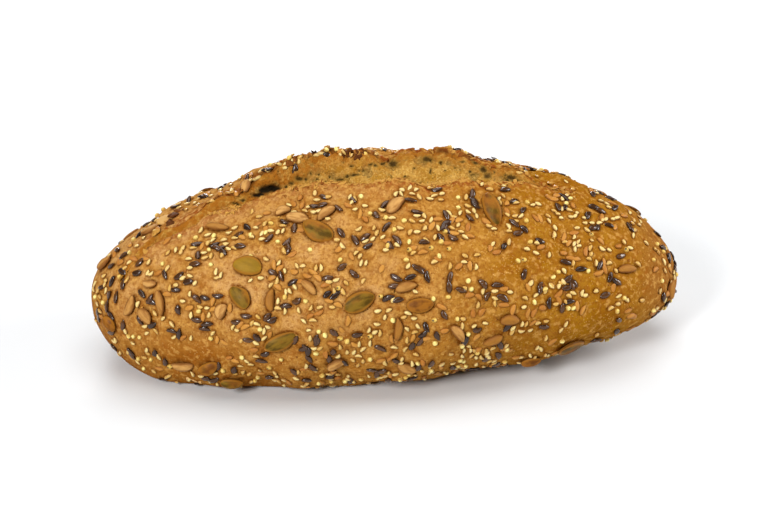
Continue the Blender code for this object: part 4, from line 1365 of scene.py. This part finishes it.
def seed_form(kind):
    """(points, faces, share of the way from the middle to the edge) of one seed in a box of size 1."""
    rings, segments = SEEDS[kind].mesh
    down = np.pi * np.arange(1, rings) / rings
    round_it = 2 * np.pi * np.arange(segments) / segments
    length = np.cos(down)
    narrowing = 1 - SEEDS[kind].point * np.clip(length, 0, 1) ** TAPER_POWER
    narrowing = narrowing - SEEDS[kind].blunt * np.clip(-length, 0, 1) ** TAPER_POWER
    radius = np.sin(down) ** PLUMPNESS.get(kind, 1) * narrowing
    height = np.sqrt(radius * np.sin(down))
    body = np.stack([
        np.repeat(length, segments), np.outer(radius, np.cos(round_it)).ravel(),
        np.outer(height, np.sin(round_it)).ravel(),
    ], -1)
    points = np.concatenate([body, [[1, 0, 0], [-1, 0, 0]]]) / 2
    faces = grid_quads(rings - 1, segments, wrap=True)[:, ::-1].tolist()
    tip, tail, last = len(points) - 2, len(points) - 1, (rings - 2) * segments
    for segment in range(segments):
        following = (segment + 1) % segments
        faces.append((tip, segment, following))
        faces.append((tail, last + following, last + segment))
    off_ends, off_sides = 1 - np.abs(length) ** EDGE_POWER, 1 - np.abs(np.cos(round_it))
    edge = np.concatenate([1 - np.outer(off_ends, off_sides).ravel(), [1, 1]])
    return points, faces, edge


class Sower:
    """Lays seeds on the loaf and remembers where each one is."""

    def __init__(self, crust, crumb, camera, rng):
        faces = np.concatenate([
            grid_quads(*crust.shape[:2], wrap=True),
            grid_quads(*crumb.shape[:2], wrap=False) + crust.shape[0] * crust.shape[1],
        ])
        vertices = np.concatenate([crust.reshape(-1, 3), crumb.reshape(-1, 3)])
        self.ground = BVHTree.FromPolygons(vertices.tolist(), faces.tolist())
        self.eye = camera.matrix_world.translation.copy()
        self.turned = camera.matrix_world.to_3x3()
        self.zoom = camera.data.lens / SENSOR * FRAME_WIDTH
        self.rng = rng
        self.beds = {kind: [] for kind in SEEDS}
        self.taken = []

    def seen_at(self, x, y):
        """The place on the loaf that shows at a pixel of the photograph, and its normal, or None."""
        ahead = Vector(((x - FRAME_WIDTH / 2) / self.zoom, (FRAME_HEIGHT / 2 - y) / self.zoom, -1))
        place, normal, _, _ = self.ground.ray_cast(self.eye, (self.turned @ ahead).normalized())
        return None if place is None else (place, normal)

    def nearest(self, point):
        """The place on the loaf nearest to a point, and its normal."""
        return self.ground.find_nearest(Vector(point))[:2]

    def near_lip(self, count, lip, offset):
        """Random places near the front lip, number 0, or the back one, number 1: x, the place and its normal.
        Offset draws how far behind the lip each one is, in millimetres."""
        for _ in range(count):
            x = self.rng.uniform(TORN_FROM, TORN_TO)
            y = lips(np.array(x), torn=1)[lip] + offset() * MM
            along = x / (LENGTH / 2)
            yield x, *self.nearest(skin(along, turn_at(along, y), crust_relief))

    def has_room(self, kind, place, share):
        """Whether the seeds laid so far leave a new one a share of its length round a place."""
        places, reaches = np.array([t[0] for t in self.taken]), np.array([t[1] for t in self.taken])
        own_reach = share * SEEDS[kind].size[0] * MM
        return np.all(np.linalg.norm(places - np.array(place), axis=1) > reaches + own_reach)

    def lay(self, kind, place, normal, ahead, tone=None, steepness=SEED_TILT, stretch=(1, 1, 1)):
        """Beds one seed, its length along ahead. Stretch is for its length, width and thickness."""
        size = np.array(SEEDS[kind].size) * np.array(stretch) * MM
        size = size * (1 + SIZE_SPREAD * self.rng.uniform(-1, 1, 3))
        ahead = (ahead - normal * ahead.dot(normal)).normalized()
        side = normal.cross(ahead)
        rise = float((0.5 - SEEDS[kind].sunk) * size[2])
        tilt = self.rng.uniform(-steepness, steepness, 2).tolist()
        up = (normal + ahead * tilt[0] + side * tilt[1]).normalized()
        ahead = (ahead - up * ahead.dot(up)).normalized()
        axes = np.array([ahead, up.cross(ahead), up])
        tone = self.rng.uniform() if tone is None else tone
        self.beds[kind].append((np.array(place + normal * rise), axes, size, tone, self.rng.uniform(-1, 1)))
        self.taken.append((tuple(place), TAKEN_SHARE * (size[0] + size[1]) / 2))

    def lay_at_pixel(self, kind, x, y, angle=None, tone=None, steepness=SEED_TILT, scale=1):
        """Beds one seed where the photograph shows it, pointing the way it does there."""
        turned = math.radians(self.rng.uniform(0, 360) if angle is None else angle)
        beyond = x + POINTING_PIXELS * math.cos(turned), y - POINTING_PIXELS * math.sin(turned)
        found, onward = self.seen_at(x, y), self.seen_at(*beyond)
        if found and onward:
            self.lay(kind, *found, onward[0] - found[0], tone, steepness, (scale,) * 3)

    def lay_large(self, kind, x, y, angle, tone, long=LARGE_LENGTH, wide=LARGE_WIDTH):
        """Beds one large seed where the photograph shows it, as long and wide as it shows there in pixels. It
        is turned a little towards the camera, as its edge stands out of the crust."""
        place, normal = self.seen_at(x, y)
        sight = (place - self.eye).normalized()
        towards = FACING[kind] * float(ramp(-normal.dot(sight), 0, FACING_FADE))
        facing = normal.lerp(-sight, towards).normalized()
        turned = math.radians(angle)
        axes = ((math.cos(turned), math.sin(turned), 0), (-math.sin(turned), math.cos(turned), 0))
        shown = [self.turned @ Vector(axis) for axis in axes]
        true = [axis - sight * (axis.dot(facing) / sight.dot(facing)) for axis in shown]
        own = SEEDS[kind].size
        stretch = [
            min(pixels / PIXELS_PER_MM * axis.length / size, MOST_STRETCH)
            for pixels, axis, size in zip((long, wide), true, own)
        ]
        lift = LIFT_SHARE * own[1] * MM * normal.cross(facing).length
        self.lay(kind, place + normal * lift, facing, true[0], tone, LARGE_TILT, (*stretch, 1))


def raise_round_seeds(sower, points, normals, clear):
    """Lets the crust climb round every seed. Returns the raised points, how crowded each place is, and how
    strong the shadow painted in a ring just outside a seed's rim is there."""
    flat = points.reshape(-1, 3)
    tree = KDTree(len(flat))
    for number, point in enumerate(flat):
        tree.insert(point, number)
    tree.balance()
    raised, crowd, contact_shadow = np.zeros(len(flat)), np.zeros(len(flat)), np.zeros(len(flat))
    for kind in COLLARED_KINDS:
        share = COLLAR_SHARE * (LOW_COLLAR if kind == "pumpkin_seeds" else 1)
        for place, axes, size, _, _ in sower.beds[kind]:
            found = tree.find_range(Vector(place), FILM_REACH * FILM_SEARCH)
            near = np.array([number for _, number, _ in found])
            if not len(near):
                continue
            offset = (flat[near] - place) @ axes.T
            reach = np.sqrt((offset[:, 0] / size[0]) ** 2 + (offset[:, 1] / size[1]) ** 2)
            collar = share * size[2] * fading(reach - COLLAR_FROM, COLLAR_SPREAD)
            raised[near] = np.maximum(raised[near], collar)
            crowd[near] += bell(np.linalg.norm(offset, axis=1), FILM_REACH)
            # The painted shadow ring, strongest just outside the seed's rim.
            past_rim = (reach - RIM) * (size[0] + size[1]) / 2
            shadow_ring = SHADOW_RING_SHARES.get(kind, 1) * fading(past_rim, SHADOW_RING_REACH)
            contact_shadow[near] = np.maximum(contact_shadow[near], shadow_ring)
    raised = raised.reshape(clear.shape) * clear
    crowd = smooth(crowd.reshape(clear.shape) / FILM_CROWD)
    return points + normals * raised[..., None], crowd, contact_shadow.reshape(clear.shape)


def sow_seen_side(sower):
    """The seeds that the photograph shows, and mixed ones in its densest patches."""
    for kind, places in SEEN_SPOTS:
        lay = sower.lay_large if kind in FACING else sower.lay_at_pixel
        for place in places:
            lay(kind, *place)
    rng = sower.rng
    for left, right, top, bottom, count in DENSE_PATCHES:
        for _ in range(count):
            x, y = rng.uniform(left, right), rng.uniform(top, bottom)
            kind = rng.choice(SMALL_KINDS, p=SMALL_SHARES)
            found = sower.seen_at(x, y)
            if found and sower.has_room(kind, found[0], PATCH_ROOM):
                sower.lay_at_pixel(kind, x, y)


def scatter_flakes(sower, x, y, spread, count, tone, steepness, scale):
    """A group of torn flakes round a pixel of the photograph."""
    for _ in range(count):
        spot = x + sower.rng.normal(0, spread[0]), y + sower.rng.normal(0, spread[1])
        sower.lay_at_pixel("crust_flakes", *spot, None, tone, steepness, scale)


def sow_flakes(sower):
    """Torn flakes of crust, where the photograph shows them and all along the back lip."""
    rng = sower.rng
    for x, y, count, scale, steepness in FLAKE_SPOTS:
        scatter_flakes(sower, x, y, FLAKE_SCATTER, count, None, steepness, scale)
    for flake in SINGLE_FLAKES:
        sower.lay_at_pixel("crust_flakes", *flake)
    scatter_flakes(sower, **CLUMP)
    for _, place, normal in sower.near_lip(BACK_FLAKES, 1, lambda: rng.normal(*BACK_FLAKES_OFF)):
        ahead = Vector((1, rng.normal(0, BACK_FLAKES_SWING), 0))
        sower.lay("crust_flakes", place, normal, ahead, None, FLAKE_TILT)


def sow_bits(sower):
    """Crumbs and flakes of torn crust all along the front lip, clear of the notch."""
    rng = sower.rng
    for x, place, normal in sower.near_lip(FRONT_BITS, 0, lambda: rng.normal(*FRONT_BITS_OFF)):
        scale = rng.uniform(*FRONT_BIT_SCALES)
        if abs(x - NOTCH_AT) > NOTCH_REACH:
            ahead = Vector(rng.normal(0, 1, 3))
            sower.lay("crumb_bits", place, normal, ahead, rng.uniform() ** 2, FLAKE_TILT, (scale,) * 3)
    for x, place, normal in sower.near_lip(FRONT_FLAKES, 0, lambda: -abs(rng.normal(*FRONT_FLAKES_OFF))):
        stretch = rng.uniform(*FRONT_FLAKE_LENGTHS), rng.uniform(*FRONT_FLAKE_WIDTHS), FRONT_FLAKE_THICKNESS
        ahead = Vector((1, rng.normal(0, FRONT_FLAKES_SWING), 0))
        if abs(x - NOTCH_AT) > NOTCH_REACH:
            tone = rng.uniform(*FRONT_FLAKE_TONES)
            sower.lay("crust_flakes", place, normal, ahead, tone, FLAKE_TILT, stretch)


def in_slash(x, y, z, before, behind):
    """Whether a place lies in the slash, or closer to its lips than the two margins."""
    front, back, openness = lips(np.array(x))
    return z > WIDEST_LEVEL and front - before < y < back + behind and openness > 0


def sow_covered(sower):
    """More linseeds and sesame, almost covered by the crust, and scales of crust, between the seeds that the
    photograph shows."""
    rng = sower.rng
    seen = BROWN_LINSEED_SPOTS + SESAME_SPOTS
    for _ in range(COVERED_SEEDS):
        x, y = seen[rng.randint(len(seen))][:2]
        found = sower.seen_at(x + rng.normal(0, COVERED_SCATTER), y + rng.normal(0, COVERED_SCATTER))
        kind = rng.choice(COVERED_KINDS, p=COVERED_SHARES)
        if not found or in_slash(*found[0], *SLASH_MARGINS):
            continue
        if sower.has_room(kind, found[0], COVERED_ROOM):
            scale = rng.uniform(*SCALE_LENGTHS)
            scaled = scale, SCALE_WIDTH * scale, SCALE_THICKNESS
            stretch = scaled if kind == "crust_flakes" else COVERED_STRETCH
            sower.lay(kind, *found, Vector(rng.normal(0, 1, 3)), rng.uniform(), stretch=stretch)


def hidden_places(rng):
    """(kind, point, lie) of the large seeds behind the slash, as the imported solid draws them."""
    taken = []
    for kind, places in CHOSEN_PLACES.items():
        for along_mm, turn_degrees in places:
            point = skin(along_mm * MM / (LENGTH / 2), math.radians(turn_degrees))
            taken.append((point, SPACING[kind] / 2))
    for kind, wanted in HIDDEN_COUNTS.items():
        half_length, reach = HIDDEN_LENGTHS[kind] / 2, SPACING[kind] / 2
        while wanted:
            along = rng.uniform(-HIDDEN_REACH, HIDDEN_REACH)
            turn = math.radians(rng.uniform(*HIDDEN_TURNS))
            lie = math.radians(rng.uniform(0, 180))
            point = skin(along, turn)
            if rng.uniform() > plan_share(along) or not may_hold_seed(point, half_length):
                continue
            if any(np.linalg.norm(point - other) < reach + other_reach for other, other_reach in taken):
                continue
            taken.append((point, reach))
            wanted -= 1
            yield kind, point, lie


def may_hold_seed(point, half_length):
    """Seeds stay off the torn slash, off each tip and clear of the table."""
    at_tip = abs(point[0]) > LENGTH / 2 - TIP_MARGIN
    on_table = point[2] < half_length + TABLE_MARGIN
    return not (at_tip or on_table or in_slash(*point, half_length, half_length / 2))


def random_skin_place(sower):
    along = sower.rng.uniform(-CLUMP_REACH, CLUMP_REACH)
    turn = sower.rng.uniform(0, 2 * math.pi)
    return *sower.nearest(skin(along, turn, crust_relief)), along


def sow_unseen_side(sower):
    """Large seeds, and clumps of mixed small ones, wherever the photograph doesn't look, fewer underneath."""
    for kind, point, lie in hidden_places(np.random.RandomState(HIDDEN_RANDOM_SEED)):
        place, normal = sower.nearest(point)
        sideways = normal.cross(Vector((1, 0, 0))).normalized()
        ahead = sideways.cross(normal) * math.cos(lie) + sideways * math.sin(lie)
        sower.lay(kind, place, normal, ahead, HIDDEN_TONE, HIDDEN_TILT, (1, 1, HIDDEN_THICKNESS))
    rng = sower.rng
    clumps = 0
    while clumps < HIDDEN_CLUMPS:
        middle, normal, along = random_skin_place(sower)
        if rng.uniform() > plan_share(along):
            continue
        if normal.dot((sower.eye - middle).normalized()) > CLUMP_FACING or middle.z < CLUMP_LEVEL:
            continue
        if normal.z < UNDERSIDE and rng.uniform() < UNDERSIDE_SKIPPED:
            continue
        clumps += 1
        sow_clump(sower, middle)


def sow_clump(sower, middle):
    rng = sower.rng
    spread = rng.uniform(*CLUMP_WIDTHS) * MM
    for _ in range(rng.randint(*CLUMP_SEEDS)):
        kind = rng.choice(SMALL_KINDS, p=SMALL_SHARES)
        place, normal = sower.nearest(middle + Vector(rng.normal(0, 1, 3)) * spread)
        seen = normal.dot((sower.eye - place).normalized()) > SEEN_FACING
        if seen or place.z < LEAST_LEVEL or in_slash(*place, *SLASH_MARGINS):
            continue
        if sower.has_room(kind, place, HIDDEN_ROOM):
            sower.lay(kind, place, normal, Vector(rng.normal(0, 1, 3)))


def bed_mesh(sower, kind, material, slot):
    """All seeds of one kind as one mesh, each a little bent and uneven. Grain is a seed's own coordinates."""
    points, faces, edge = seed_form(kind)
    uneven = SEEDS[kind].uneven
    vertices, all_faces, tones, grain = [], [], [], []
    for number, (place, axes, size, tone, luck) in enumerate(sower.beds[kind]):
        own = points * size
        shift = number * size * GRAIN_STEP
        own = own * (1 + uneven * noise(own + shift, size[0] / UNEVEN_BUMPS))[:, None]
        own[:, 1] += BEND * uneven * luck * (own[:, 0] ** 2 * 4 / size[0] - size[0] / 3)
        vertices.append(own @ axes + place)
        all_faces += [[corner + number * len(points) for corner in face] for face in faces]
        tones.append(np.full(len(points), tone))
        grain.append(own + shift)
    vertices, tone = np.concatenate(vertices), np.concatenate(tones)
    vertices[:, 2] = np.maximum(vertices[:, 2], LEAST_HEIGHT)
    attributes = {"tone": tone, "edge": np.tile(edge, len(tones)), "grain": np.concatenate(grain)}
    if slot in ("sesame", "millet"):
        navel = ramp(np.hypot(points[:, 0] - NAVEL_AT, points[:, 1]), *NAVEL_RIM) * (points[:, 2] > 0)
        attributes["mark"] = np.tile(navel, len(tones)) * (tone > MARKED_TONE)
    new_piece(kind, vertices, all_faces, material, attributes)


def make_seeds(sower):
    brown_linseed = linseed_material("brown_linseed", BROWN_LINSEED_COLOURS, roughness=0.14, shine=0.4)
    golden_linseed = linseed_material("golden_linseed", GOLDEN_LINSEED_COLOURS, roughness=0.45, shine=0.2)
    bed_mesh(sower, "pumpkin_seeds", pumpkin_material(), "pumpkin_seed")
    bed_mesh(sower, "sunflower_kernels", sunflower_material(), "sunflower_seed")
    bed_mesh(sower, "brown_linseeds", brown_linseed, "brown_linseed")
    bed_mesh(sower, "golden_linseeds", golden_linseed, "golden_linseed")
    bed_mesh(sower, "sesame_seeds", grain_material("sesame", SESAME_COLOURS), "sesame")
    bed_mesh(sower, "millet_grains", grain_material("millet", MILLET_COLOURS), "millet")
    bed_mesh(sower, "crust_flakes", flake_material("crust_flakes"), "crust")
    bed_mesh(sower, "crumb_bits", flake_material("crumb_bits"), "crumb")


def main():
    make_light()
    camera = make_camera()
    make_floor()
    bpy.context.view_layer.update()
    crust, normals, on_top, clear = shape_crust()
    crumb, crumb_marks = shape_crumb(camera)
    sower = Sower(crust, crumb, camera, np.random.RandomState(SOWER_RANDOM_SEED))
    sow_seen_side(sower)
    sow_flakes(sower)
    sow_bits(sower)
    sow_covered(sower)
    sow_unseen_side(sower)
    crust, film, contact_shadow = raise_round_seeds(sower, crust, normals, clear)
    crust, creased = crease(crust, normals, camera)
    crust[..., 2] = np.maximum(crust[..., 2], 0)
    make_crust(crust, crust_marks(crust, on_top, film, contact_shadow, creased))
    make_crumb(crumb, crumb_marks)
    make_seeds(sower)


main()
